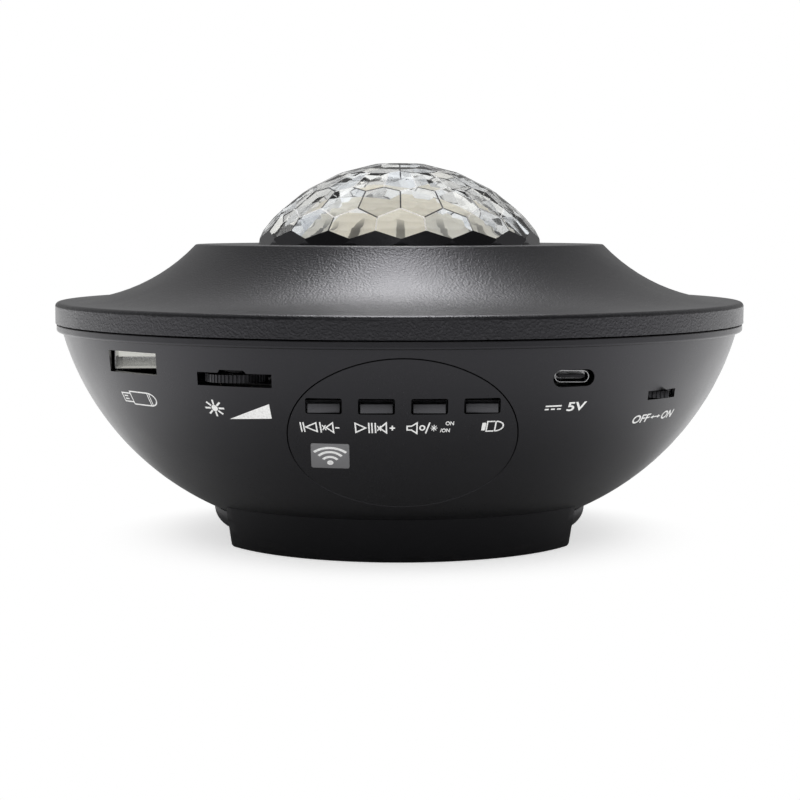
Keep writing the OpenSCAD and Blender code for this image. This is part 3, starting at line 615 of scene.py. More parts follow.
@dataclass(frozen=True)
class PaperCone(Finish):
    """Pressed paper pulp with a doped rim."""

    def paint(self, g: ShaderGraph) -> None:
        """Fibres, and fine rings from the press.

        Args:
            g: the tree of the new material.
        """
        fibre = g.noise(0.5, 5.0, (3, 1, 1))
        rings = g.math("SINE", g.radius() * (2 * math.pi / (1.6 * MM)))
        g.set(
            Base_Color=g.mix(fibre, (0.008, 0.008, 0.008), (0.035, 0.034, 0.032)),
            Roughness=0.75 + fibre * 0.15,
        )
        g.relief(fibre * 0.6 + rings * 0.2, 0.08)


@dataclass(frozen=True)
class Ferrite(Finish):
    """Sintered magnet, dark and speckled."""

    def paint(self, g: ShaderGraph) -> None:
        """Grey grains in a near-black body.

        Args:
            g: the tree of the new material.
        """
        grain = g.noise(0.6, 5.0)
        g.set(
            Base_Color=g.mix(g.ramp(grain, 0.45, 0.7), (0.02, 0.02, 0.022), (0.07, 0.07, 0.075)),
            Roughness=0.62 - grain * 0.15,
        )
        g.relief(grain, 0.03)


@dataclass(frozen=True)
class Phosphor(Finish):
    """LED packages: white bodies with yellow phosphor lenses."""

    lens_z: float = 67.05

    def paint(self, g: ShaderGraph) -> None:
        """Yellow over the height of the lens, white below it.

        Args:
            g: the tree of the new material.
        """
        grain = g.noise(0.2, 3.0)
        lens = g.z > self.lens_z * MM
        white = g.mix(grain, (0.72, 0.72, 0.68), (0.86, 0.86, 0.83))
        g.set(
            Base_Color=g.mix(lens, white, g.mix(grain, (0.8, 0.55, 0.08), (0.9, 0.7, 0.16))),
            Roughness=0.45 - lens * 0.2 + grain * 0.1,
        )
        g.relief(grain, 0.01)


@dataclass(frozen=True)
class Receiver(Finish):
    """Black epoxy body on tinned legs."""

    leg_z: float = 35.7

    def paint(self, g: ShaderGraph) -> None:
        """Tinned above the body's top, epoxy below it.

        Args:
            g: the tree of the new material.
        """
        grain = g.noise(0.25, 3.0)
        legs = g.z > self.leg_z * MM
        epoxy = g.mix(grain, (0.01, 0.01, 0.011), (0.02, 0.02, 0.022))
        g.set(
            Base_Color=g.mix(legs, epoxy, (0.62, 0.62, 0.6)),
            Roughness=0.3 + grain * 0.12,
            Metallic=legs,
        )
        g.relief(grain, 0.006)


@dataclass(frozen=True)
class LaserBarrel(Finish):
    """Turned brass barrel with a dark lens recess."""

    def paint(self, g: ShaderGraph) -> None:
        """Turning rings on the outside, blackened inside the bore.

        Args:
            g: the tree of the new material.
        """
        rings = g.noise(0.12, 2.0, (40, 40, 1))
        bore = g.radius() < 2.5 * MM
        brass = g.mix(rings, (0.52, 0.36, 0.1), (0.72, 0.53, 0.2))
        g.set(
            Base_Color=g.mix(bore, brass, (0.02, 0.02, 0.03)),
            Roughness=0.24 + rings * 0.12 + bore * 0.2,
            Metallic=1 - bore,
        )
        g.relief(rings, 0.006)


class Stock(Enum):
    """The finishes that this object is made in."""

    # the sixth value of a moulding is its painted sparkle: grain peaks lightened in colour in place of glints
    TOP = MouldedPlastic("black_top_grain", (0.0056, 0.0056, 0.0062), 0.35, 0.62, 0.085, 1.0, 0.62)
    BOWL = MouldedPlastic("black_bowl_satin", (0.0062, 0.0062, 0.0068), 0.34, 0.35, 0.012, 0.35)
    PANEL = MouldedPlastic("black_panel_satin", (0.0062, 0.0062, 0.0068), 0.33, 0.35, 0.01, 0.3)
    BASE = MouldedPlastic("black_base_matt", (0.0045, 0.0045, 0.005), 0.46, 0.35, 0.012, 0.4, 0.4)
    BUTTON = MouldedPlastic("grey_button", (0.05, 0.05, 0.053), 0.42, 0.25, 0.006, 0.3)
    KNOB = MouldedPlastic("black_knob", (0.012, 0.012, 0.0125), 0.36, 0.3, 0.008, 0.3)
    SWITCH = MouldedPlastic("black_switch_body", (0.02, 0.02, 0.021), 0.5, 0.3, 0.01, 0.3)
    INNER = MouldedPlastic("black_inner_frame", (0.012, 0.012, 0.0125), 0.5, 0.4, 0.012, 0.3)
    DECK = MouldedPlastic("black_light_deck", (0.012, 0.012, 0.0125), 0.4, 0.4, 0.01, 0.2)
    # painted glow: the white tongue emits its own colour, brightening it where it sits dim inside the socket
    TONGUE_WHITE = MouldedPlastic("white_socket_tongue", (0.86, 0.86, 0.8), 0.38, 0.3, 0.004, 0.15, lift=0.5)
    TONGUE_BLACK = MouldedPlastic("black_socket_tongue", (0.03, 0.03, 0.032), 0.4, 0.3, 0.004, 0.2)
    IVORY = MouldedPlastic("ivory_gear_resin", (0.76, 0.73, 0.62), 0.34, 0.4, 0.004, 0.15)
    LED_BOARD = MouldedPlastic("white_led_board", (0.78, 0.79, 0.76), 0.36, 0.6, 0.004, 0.1)
    CRYSTAL = ClearMoulding("clear_dome")
    # the dome's facets and edges carry painted light: facet tints for the inside they would show, edge tones
    # for dark lines and glints
    FACETS = CutFacets("clear_dome_facets")
    EDGES = FacetEdges("clear_dome_edges", roughness=0.2, clearness=0.6)
    # the frosted lens carries a painted glow of its own colour
    LENS = BarredLens("frosted_lens", (0.9, 0.87, 0.79), 0.5, 0.15)
    WINDOW = SmokedWindow("smoked_window")
    PRINT = Ink("white_print", (0.93, 0.93, 0.92))
    SOCKET = Metal("nickel_socket", (0.66, 0.66, 0.67), 0.24)
    SCREW = Metal("zinc_screw", (0.5, 0.5, 0.52), 0.32)
    PRESSED = Metal("pressed_speaker_steel", (0.36, 0.36, 0.38), 0.38)
    SPRING = Metal("spring_steel", (0.56, 0.56, 0.58), 0.26)
    SHAFT = Metal("ground_shaft", (0.68, 0.68, 0.7), 0.16)
    MOTOR = Metal("motor_can", (0.5, 0.51, 0.53), 0.3)
    ALUMINIUM = Metal("extruded_aluminium", (0.62, 0.63, 0.65), 0.36, (1, 12, 12))
    RUBBER = Rubber("foot_rubber")
    BOARD = CircuitBoard("green_circuit_board")
    PORT_BOARD = CircuitBoard("black_circuit_board", (0.006, 0.007, 0.007), (0.014, 0.016, 0.016))
    # painted shade: a black finish on the dome's skirt, stem and flange in place of the dark inside seen
    # through them
    FOOT_PAINTED_SHADE = MouldedPlastic("black_dome_painted_shade", (0.004, 0.004, 0.0045), 0.16, 0.6, 0.004, 0.2, 0.6)
    PARTS = BoardParts("board_parts_mixed")
    PAPER = PaperCone("speaker_paper_pulp")
    FERRITE = Ferrite("ferrite_magnet")
    PHOSPHOR = Phosphor("led_phosphor")
    RECEIVER = Receiver("receiver_epoxy")
    BARREL = LaserBarrel("laser_barrel_brass")

    @property
    def material(self) -> bpy.types.Material:
        """The finish's Blender material."""
        return self.value.material()


# ---- pieces ----


def bake(source: bpy.types.Object) -> bpy.types.Mesh:
    """Turns an object and its modifiers into a plain mesh.

    Args:
        source: the object; it is removed afterwards.

    Returns:
        The finished mesh.
    """
    graph = bpy.context.evaluated_depsgraph_get()
    mesh = bpy.data.meshes.new_from_object(source.evaluated_get(graph), depsgraph=graph)
    name = source.name
    bpy.data.objects.remove(source)
    mesh.name = name
    return mesh


def loose_object(name: str, data: bpy.types.ID) -> bpy.types.Object:
    """A new object at the origin, linked to the scene.

    Args:
        name: the object's name.
        data: its mesh, curve, camera or light.

    Returns:
        The object.
    """
    made = bpy.data.objects.new(name, data)
    bpy.context.scene.collection.objects.link(made)
    return made


@dataclass
class Piece:
    """A finished piece and what it stands for."""

    name: str
    body: str
    slot: str
    nodes: tuple[str, ...] = ()

    def place(self, mesh: bpy.types.Mesh, finish: Stock | None = None) -> bpy.types.Object:
        """Adds the piece to the scene and to its moving body.

        Args:
            mesh: the piece's mesh, in place.
            finish: its finish, or None if the mesh already has its materials.

        Returns:
            The new object.
        """
        if finish is not None:
            mesh.materials.clear()
            mesh.materials.append(finish.material)
        made = loose_object(self.name, mesh)
        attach(made, self.body)
        if self.nodes:
            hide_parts(*self.nodes)
        LOG.info("%s: %d faces, rides on %s", self.name, len(mesh.polygons), self.body)
        return made


class Recipe:
    """A Geometry Nodes tree with named inputs, run on one object and baked."""

    def __init__(self, name: str) -> None:
        """Starts an empty tree.

        Args:
            name: the tree's name.
        """
        self.tree = bpy.data.node_groups.new(name, "GeometryNodeTree")
        self.graph = Graph(self.tree)
        self.values: dict[str, object] = {}
        self.tree.interface.new_socket("Geometry", in_out="INPUT", socket_type="NodeSocketGeometry")
        self.tree.interface.new_socket("Geometry", in_out="OUTPUT", socket_type="NodeSocketGeometry")
        self.start = self.graph.add("NodeGroupInput")
        self.end = self.graph.add("NodeGroupOutput")

    def size(self, name: str, value: Number) -> Value:
        """A named input of the tree.

        Args:
            name: what the size is.
            value: metres for a float, or a count for an int.

        Returns:
            The input as a Value.
        """
        kind = "NodeSocketInt" if isinstance(value, int) else "NodeSocketFloat"
        item = self.tree.interface.new_socket(name, in_out="INPUT", socket_type=kind)
        self.values[item.identifier] = value
        return self.graph.out(self.start, name)

    def run(
        self, name: str, source: bpy.types.Mesh, shape: Value | bpy.types.Node, finish: Stock
    ) -> bpy.types.Object:
        """Ends the tree and puts it on an object.

        Args:
            name: the object's name.
            source: the mesh that the tree starts from.
            shape: the tree's result.
            finish: the finish of the whole shape.

        Returns:
            The object with the live modifier.
        """
        real = self.graph.add("GeometryNodeRealizeInstances", Geometry=shape)
        dressed = self.graph.add("GeometryNodeSetMaterial", Geometry=real, Material=finish.material)
        self.graph.feed(self.end.inputs[0], dressed)
        made = loose_object(name, source)
        modifier = made.modifiers.new("recipe", "NODES")
        modifier.node_group = self.tree
        for identifier, value in self.values.items():
            modifier[identifier] = value
        return made


def points_mesh(name: str, points: list[Point3]) -> bpy.types.Mesh:
    """A mesh of loose points, given in millimetres.

    Args:
        name: the mesh's name.
        points: the places.

    Returns:
        The mesh.
    """
    mesh = bpy.data.meshes.new(name)
    mesh.from_pydata([Vector(p) * MM for p in points], [], [])
    return mesh


class Coat(IntEnum):
    """Material slots of the dome, in order."""

    INSIDE = 0
    FACET = 1
    FOOT = 2
    EDGE = 3


@dataclass
class CrystalDome:
    """The faceted dome: a polytope of planes that touch a sphere, on a neck with a flange."""

    touch_r: float = 49.7
    centre_z: float = 58.9
    deck_z: float = 85.2
    facets: int = 18
    first_lean: float = 39
    lean_step: float = 12
    rows: int = 4
    skirt_lean: float = 15
    skirt_apex: float = 4.1
    neck_r: float = 41.3
    neck_low_r: float = 41.0
    wall: float = 2.4
    deck_wall: float = 2.2
    flange_t: float = 2
    edge: float = 0.22
    least_bend: float = 5
    inner_cuts: int = 4
    drum_sides: int = 192
    flange_reach: float = 4
    bore_step: float = 0.6

    def skirt_distance(self) -> float:
        """Distance of the skirt facets from the centre, so that their tips end just over the deck.

        Returns:
            The distance in millimetres.
        """
        high = self.deck_z + self.skirt_apex - self.centre_z
        lean, skirt = math.radians(self.first_lean), math.radians(self.skirt_lean)
        reach = (self.touch_r - high * math.sin(lean)) / math.cos(lean) / math.cos(math.pi / self.facets)
        return reach * math.cos(skirt) + high * math.sin(skirt)

    def pole_ring(self, g: Graph, count: object, lean: float, turn: float, scale: Value) -> bpy.types.Node:
        """One row of plane poles: a circle of points, each standing for one facet plane.

        Args:
            g: the tree to add to.
            count: facets in the row.
            lean: how far the facets look up, in degrees.
            turn: heading of the first one, in degrees.
            scale: distance of the poles, in metres.

        Returns:
            The row's node.
        """
        ring = g.add(
            "GeometryNodeMeshCircle", Vertices=count, Radius=scale * math.cos(math.radians(lean))
        )
        lift = g.add("ShaderNodeCombineXYZ", Z=scale * math.sin(math.radians(lean)))
        return g.add(
            "GeometryNodeTransform", Geometry=ring, Translation=lift, Rotation=(0, 0, math.radians(turn))
        )

    def drum(self, g: Graph, radius: Operand, low: float, high: float) -> bpy.types.Node:
        """A round solid about the dome's axis.

        Args:
            g: the tree to add to.
            radius: its radius in metres.
            low: its lower end, in millimetres over the dome's centre.
            high: its upper end.

        Returns:
            The solid's node.
        """
        depth = (high - low) * MM
        body = g.add("GeometryNodeMeshCylinder", Vertices=self.drum_sides, Radius=radius, Depth=depth)
        return g.add("GeometryNodeTransform", Geometry=body, Translation=(0, 0, (low + high) / 2 * MM))

    def join(self, g: Graph, operation: str, first: object, second: list) -> bpy.types.Node:
        """A boolean of two or more solids.

        Args:
            g: the tree to add to.
            operation: INTERSECT, UNION or DIFFERENCE.
            first: the solid that stays, or is cut.
            second: the solids that it meets.

        Returns:
            The boolean's node.
        """
        node = g.add("GeometryNodeMeshBoolean", {"operation": operation, "solver": "EXACT"})
        if operation == "DIFFERENCE":
            g.feed(node.inputs["Mesh 1"], first)
        else:
            second = [first, *second]
        g.feed(node.inputs["Mesh 2"], second)
        return node

    def build(self) -> bpy.types.Mesh:
        """Builds the dome by polar duality: the hull of the planes' poles, turned back into their solid.

        Returns:
            The dome's mesh in place.
        """
        recipe = Recipe("dome_facets")
        g = recipe.graph
        touch = recipe.size("Touching radius", self.touch_r * MM)
        count = recipe.size("Facets in a row", self.facets)
        neck = recipe.size("Neck radius", self.neck_r * MM)
        thick = recipe.size("Wall", self.wall * MM)
        step = 360 / self.facets
        rings = []
        for row in range(self.rows):
            last = row == self.rows - 1
            turn = -90 + (step if last else step / 2) * (row % 2)
            number = count / 2 if last else count
            rings.append(self.pole_ring(g, number, self.first_lean + row * self.lean_step, turn, touch))
        skirt_scale = touch * (self.touch_r / self.skirt_distance())
        rings.append(self.pole_ring(g, count, self.skirt_lean, -90 + step / 2, skirt_scale))
        cap = g.add("GeometryNodeMeshLine", {"mode": "END_POINTS"}, Count=2)
        g.feed(cap.inputs["Start Location"], g.add("ShaderNodeCombineXYZ", Z=touch))
        g.feed(cap.inputs["Offset"], g.add("ShaderNodeCombineXYZ", Z=touch * -4))
        poles = g.add("GeometryNodeJoinGeometry", Geometry=[*rings, cap])
        hull = g.add("GeometryNodeConvexHull", Geometry=poles)
        normal = g.add("GeometryNodeInputNormal")
        spot = g.add("GeometryNodeInputPosition")
        away = g.out(g.vector("DOT_PRODUCT", normal, spot), "Value")
        stretch = touch * touch / away
        corner = g.add("ShaderNodeVectorMath", {"operation": "SCALE"}, _0=normal)
        g.feed(corner.inputs["Scale"], stretch)
        capture = g.add("GeometryNodeCaptureAttribute", {"domain": "FACE"}, Geometry=hull)
        capture.capture_items.new("VECTOR", "Corner")
        g.feed(capture.inputs["Corner"], corner)
        dual = g.add("GeometryNodeDualMesh", Mesh=capture)
        solid = g.add("GeometryNodeSetPosition", Geometry=dual, Position=g.out(capture, "Corner"))
        solid = g.add("GeometryNodeMergeByDistance", Geometry=solid, Distance=0.02 * MM)
        flat = g.add("GeometryNodeSetShadeSmooth", Geometry=solid, Shade_Smooth=False)
        low = self.deck_z - self.centre_z
        under = low - self.deck_wall
        crown = self.join(g, "INTERSECT", flat, [self.drum(g, neck, low, self.touch_r * 1.3)])
        stem = self.drum(g, self.neck_low_r * MM, under - 0.01, low + 0.01)
        flange = self.drum(g, (self.neck_r + self.flange_reach) * MM, under - self.flange_t, under)
        outside = self.join(g, "UNION", crown, [stem, flange])
        ball = g.add("GeometryNodeMeshIcoSphere", Radius=touch - thick, Subdivisions=self.inner_cuts)
        ball = g.add("GeometryNodeTransform", Geometry=ball, Rotation=(0.2, 0.1, 0))
        ball = g.add("GeometryNodeSetShadeSmooth", Geometry=ball, Shade_Smooth=False)
        bore = self.drum(g, neck - thick - self.bore_step * MM, under - self.flange_t - 1, under + 0.5)
        hollow = self.join(g, "DIFFERENCE", outside, [ball, bore])
        placed = g.add("GeometryNodeTransform", Geometry=hollow, Translation=(0, 0, self.centre_z * MM))
        made = recipe.run("crystal_dome_cut", bpy.data.meshes.new("crystal_seed"), placed, Stock.CRYSTAL)
        mesh = bake(made)
        self.finish_faces(mesh)
        return mesh

    def finish_faces(self, mesh: bpy.types.Mesh) -> None:
        """Polishes the facets, rounds their edges and gives the skirt, stem and flange a black finish as
        painted shade.

        Args:
            mesh: the dome's mesh in place.
        """
        mesh.materials.clear()
        for stock in (Stock.CRYSTAL, Stock.FACETS, Stock.FOOT_PAINTED_SHADE, Stock.EDGES):
            mesh.materials.append(stock.material)
        centre = Vector((0, 0, self.centre_z * MM))
        cut_r = (self.touch_r - self.wall * 0.4) * MM
        top = (self.deck_z + self.skirt_apex + 0.3) * MM
        skirt = math.sin(math.radians(self.skirt_lean + 4))
        inner_r = (self.neck_r - self.wall - 0.5) * MM
        grid = bmesh.new()
        grid.from_mesh(mesh)
        for face in grid.faces:
            middle = face.calc_center_median()
            outside = math.hypot(middle.x, middle.y) > inner_r
            outward = face.normal.x * middle.x + face.normal.y * middle.y > 0
            cut = (middle - centre).dot(face.normal) > cut_r
            # painted shade: skirt facets, stem and flange take the black finish in place of the dark inside
            # they would show
            foot = middle.z < top and face.normal.z < skirt and outside and outward
            face.material_index = Coat.FOOT if foot else Coat.FACET if cut else Coat.INSIDE
        least = (MM * self.edge) ** 2
        facets = {f for f in grid.faces if f.material_index == Coat.FACET and f.calc_area() > least}
        edges = [
            e for e in grid.edges
            if facets.issuperset(e.link_faces) and e.calc_face_angle(0) > math.radians(self.least_bend)
        ]
        bmesh.ops.bevel(
            grid, geom=edges, offset=self.edge * MM, segments=1, affect="EDGES", clamp_overlap=False,
            material=Coat.EDGE,
        )
        grid.to_mesh(mesh)
        grid.free()
        LOG.info("softened %d facet edges", len(edges))

    def dress(self) -> bpy.types.Object:
        """Puts the dome in place of its construction node."""
        return Piece("faceted_dome", "housing", "dome_clear", ("crystal_dome",)).place(self.build())


@dataclass
class ScrewSet:
    """A set of equal cross-recessed screws with real threads."""

    node: str
    points: list[Point3]
    length: float
    head_up: bool = False
    shank_r: float = 1.4
    head_r: float = 2.7
    head_h: float = 2.0
    pitch: float = 1.0
    thread_depth: float = 0.2
    taper_from: float = 0.86
    taper_rate: float = 3.2
    head_round: float = 0.3
    recess: Point3 = (0.8, 3.2, 2.2)

    def build(self) -> bpy.types.Mesh:
        """One screw by Geometry Nodes, set on every point.

        Returns:
            The mesh of the whole set.
        """
        recipe = Recipe(f"{self.node}_recipe")
        g = recipe.graph
        shank_r = recipe.size("Shank radius", self.shank_r * MM)
        head_r = recipe.size("Head radius", self.head_r * MM)
        length = recipe.size("Length", self.length * MM)
        pitch = recipe.size("Pitch", self.pitch * MM)
        rows = max(8, round(self.length / self.pitch * 4))
        shank = g.add(
            "GeometryNodeMeshCylinder", Vertices=20, Side_Segments=rows, Radius=shank_r, Depth=length
        )
        spot = g.add("ShaderNodeSeparateXYZ", Vector=g.add("GeometryNodeInputPosition"))
        x, y, z = (g.out(spot, axis) for axis in "XYZ")
        turn = g.math("ARCTAN2", y, x) / (2 * math.pi)
        wave = (z / pitch + turn) % 1
        groove = abs(wave * 2 - 1)
        taper = g.math("MAXIMUM", (z / length + 0.5 - self.taper_from) * self.taper_rate, 0.0)
        shrink = 1 - groove * self.thread_depth - taper
        turned = g.add("ShaderNodeCombineXYZ", X=x * shrink, Y=y * shrink, Z=z)
        shank = g.add("GeometryNodeSetPosition", Geometry=shank, Position=turned)
        shank = g.add(
            "GeometryNodeTransform", Geometry=shank, Translation=g.add("ShaderNodeCombineXYZ", Z=length / 2)
        )
        head = g.add(
            "GeometryNodeMeshCylinder", Vertices=40, Side_Segments=6, Radius=head_r, Depth=self.head_h * MM
        )
        crown = 1 - (0.5 - z / (self.head_h * MM)) ** 4 * self.head_round
        domed = g.add("ShaderNodeCombineXYZ", X=x * crown, Y=y * crown, Z=z)
        head = g.add("GeometryNodeSetPosition", Geometry=head, Position=domed)
        head = g.add("GeometryNodeTransform", Geometry=head, Translation=(0, 0, -self.head_h / 2 * MM))
        cross = []
        slot_w, slot_len, slot_deep = self.recess
        for size in ((slot_w, slot_len, slot_deep), (slot_len, slot_w, slot_deep)):
            bar = g.add("GeometryNodeMeshCube", Size=tuple(s * MM for s in size))
            cross.append(g.add("GeometryNodeTransform", Geometry=bar, Translation=(0, 0, -self.head_h * MM)))
        cut = g.add("GeometryNodeMeshBoolean", {"operation": "DIFFERENCE", "solver": "EXACT"}, _0=head)
        g.feed(cut.inputs["Mesh 2"], cross)
        body = g.add("GeometryNodeJoinGeometry", Geometry=[cut, shank])
        turn_over = (math.pi, 0, 0) if self.head_up else (0, 0, 0)
        body = g.add("GeometryNodeTransform", Geometry=body, Rotation=turn_over)
        spread = g.add("GeometryNodeInstanceOnPoints", Points=g.out(recipe.start, "Geometry"), Instance=body)
        made = recipe.run(
            f"{self.node}_set", points_mesh(f"{self.node}_points", self.points), spread, Stock.SCREW
        )
        return bake(made)

    def dress(self) -> None:
        """Puts the set in place of its construction node."""
        Piece(f"{self.node}_threaded", "housing", "screw_steel", (self.node,)).place(self.build())


def ring(radius: float, headings: list[float], z: float) -> list[Point3]:
    """Points on a circle at the given headings from +X."""
    return [(radius * math.cos(math.radians(a)), radius * math.sin(math.radians(a)), z) for a in headings]


@dataclass
class Screws:
    """All screw sets of the object."""

    posts: float = 50
    post_seat: float = 54.0
    bosses: float = 54
    retainer: float = 52
    base_ring: float = 46.4
    board_ring: float = 74.608
    board_z: float = 50.8
    board_leans: Point2 = (27.3, 48.2)

    def sets(self) -> list[ScrewSet]:
        """The sets with their places, as in the construction model."""
        quarter = [0.0, 90.0, 180.0, 270.0]
        diagonal = [45.0, 135.0, 225.0, 315.0]
        reach, z = self.board_ring, self.board_z
        board = [(s * reach * math.sin(math.radians(a)), -reach * math.cos(math.radians(a)), z)
                 for a in self.board_leans for s in (1, -1)]
        return [
            ScrewSet("housing_screws", ring(self.posts, diagonal, self.post_seat), 14),
            ScrewSet("deck_screws", ring(self.bosses, [15, 165, 195, 345], 66.0), 10),
            ScrewSet("retainer_screws", ring(self.retainer, quarter, 79.0), 4, pitch=0.8),
            ScrewSet("base_screws", ring(self.base_ring, quarter, 6.9), 9),
            ScrewSet("heat_sink_screws", ring(24, [30, 150, 270], 62.4), 5.3, pitch=0.8),
            ScrewSet("motor_screws", [(s * 13.5, 47.1, 65.0) for s in (-1, 1)], 3, pitch=0.6),
            ScrewSet("port_board_screws", board, 8, head_up=True),
            ScrewSet("main_board_screws", [(s * 39, t * 17, 33.6) for s in (-1, 1) for t in (-1, 1)], 6,
                     head_up=True),
        ]

    def dress(self) -> None:
        """Builds every set."""
        for one in self.sets():
            one.dress()


@dataclass
class KnurledWheel:
    """The thin brightness wheel with its straight knurl and bore."""

    centre: Point2 = (-42.408, -76.3963)
    low: float = 51.2
    thick: float = 2.0
    radius: float = 8.0
    bore: float = 2.05
    knurls: int = 48
    tooth: float = 0.34
    steps: int = 6

    def build(self) -> bpy.types.Mesh:
        """A knurled rim outline by rule, filled and raised.

        Returns:
            The wheel's mesh in place.
        """
        recipe = Recipe("knurled_wheel")
        g = recipe.graph
        radius = recipe.size("Rim radius", self.radius * MM)
        knurls = recipe.size("Knurls", self.knurls)
        tooth = recipe.size("Knurl depth", self.tooth * MM)
        thick = recipe.size("Thickness", self.thick * MM)
        rim = g.add("GeometryNodeCurvePrimitiveCircle", Resolution=knurls * self.steps, Radius=radius)
        index = g.out(g.add("GeometryNodeInputIndex"))
        phase = index % self.steps
        dip = (phase > self.steps - 2.5) * tooth
        place = g.add("GeometryNodeInputPosition")
        drawn = g.add("ShaderNodeVectorMath", {"operation": "SCALE"}, _0=place)
        g.feed(drawn.inputs["Scale"], 1 - dip / radius)
        rim = g.add("GeometryNodeSetPosition", Geometry=rim, Position=drawn)
        hole = g.add("GeometryNodeCurvePrimitiveCircle", Resolution=64, Radius=self.bore * MM)
        both = g.add("GeometryNodeJoinGeometry", Geometry=[rim, hole])
        face = g.add("GeometryNodeFillCurve", Curve=both)
        up = g.add("GeometryNodeExtrudeMesh", Mesh=face, Offset=(0, 0, 1), Offset_Scale=thick, Individual=False)
        floor = g.add("GeometryNodeFlipFaces", Mesh=face)
        whole = g.add("GeometryNodeJoinGeometry", Geometry=[up, floor])
        whole = g.add("GeometryNodeMergeByDistance", Geometry=whole, Distance=0.001 * MM)
        spot = (self.centre[0] * MM, self.centre[1] * MM, self.low * MM)
        whole = g.add("GeometryNodeTransform", Geometry=whole, Translation=spot)
        made = recipe.run("wheel_blank", bpy.data.meshes.new("wheel_seed"), whole, Stock.KNOB)
        return bake(made)

    def dress(self) -> None:
        """Puts the wheel in place of its construction node."""
        Piece("knurled_brightness_wheel", "wheel", "wheel_black", ("brightness_wheel",)).place(self.build())


@dataclass
class SoftenedNode:
    """A construction node whose sharp edges are given the small rounding of a real part."""

    node: str
    body: str
    slot: str
    finish: Stock
    edge: float = 0.2
    segments: int = 2
    angle: float = 35.0
    merge: float = 0.4

    def build(self) -> bpy.types.Mesh:
        """Copies the node's mesh, merges it and rounds its edges.

        Returns:
            The softened mesh.
        """
        shape = bmesh.new()
        shape.from_mesh(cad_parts[self.node].data)
        bmesh.ops.remove_doubles(shape, verts=shape.verts, dist=0.002 * MM)
        self.regrid(shape)
        bmesh.ops.dissolve_limit(
            shape, angle_limit=math.radians(self.merge), verts=shape.verts, edges=shape.edges
        )
        mesh = bpy.data.meshes.new(f"{self.node}_soft")
        shape.to_mesh(mesh)
        shape.free()
        made = loose_object(f"{self.node}_soft", mesh)
        if self.edge > 0:
            bevel = made.modifiers.new("edges", "BEVEL")
            bevel.width = self.edge * MM
            bevel.segments = self.segments
            bevel.limit_method = "ANGLE"
            bevel.angle_limit = math.radians(self.angle)
        done = bake(made)
        done.polygons.foreach_set("use_smooth", [True] * len(done.polygons))
        done.set_sharp_from_angle(angle=math.radians(self.angle))
        return done

    def regrid(self, shape: bmesh.types.BMesh) -> None:
        """Nothing to lay out anew on a piece that isn't turned."""

    def dress(self) -> None:
        """Puts the softened piece in place of its node."""
        Piece(f"{self.node}_finished", self.body, self.slot, (self.node,)).place(self.build(), self.finish)


@dataclass(frozen=True)
class SectionArc:
    """A circle in the half section on which a turned face lies; a flat face has a huge one."""

    centre: Point2
    radius: float
    outward: int = 1
    spread: float = 32

    def normals(self, r: np.ndarray, z: np.ndarray) -> tuple[np.ndarray, np.ndarray, np.ndarray]:
        """Which points lie on the arc, and its normal there.

        Args:
            r: radii in millimetres.
            z: heights in millimetres.

        Returns:
            A mask, and the radial and upright parts of the normal.
        """
        dr, dz = r - self.centre[0], z - self.centre[1]
        away = np.hypot(dr, dz)
        return np.abs(away - self.radius) < 0.02, self.outward * dr / away, self.outward * dz / away

    def offset(self, spot: Vector) -> tuple[float, float]:
        """Radial and upright distance of a place in metres from the arc's centre, in millimetres."""
        return math.hypot(spot.x, spot.y) / MM - self.centre[0], spot.z / MM - self.centre[1]

    def covers(self, spot: Vector) -> bool:
        """Whether a place in metres is on the arc's outer upper quarter."""
        dr, dz = self.offset(spot)
        return abs(math.hypot(dr, dz) - self.radius) < 0.015 and dr > -0.01 and dz > -0.01

    def pull(self, vert: bmesh.types.BMVert) -> None:
        """Moves a vertex along its half section onto the arc.

        Args:
            vert: the vertex, changed in place.
        """
        dr, dz = self.offset(vert.co)
        grow = self.radius / math.hypot(dr, dz)
        turn = (self.centre[0] + dr * grow) * MM / math.hypot(vert.co.x, vert.co.y)
        vert.co = (vert.co.x * turn, vert.co.y * turn, (self.centre[1] + dz * grow) * MM)


def band(radius: float) -> SectionArc:
    """The section of an upright cylinder."""
    return SectionArc((radius - 1e6, 50), 1e6)


def plateau(height: float, up: bool = True) -> SectionArc:
    """The section of a level face."""
    return SectionArc((0, height - 1e6 if up else height + 1e6), 1e6)


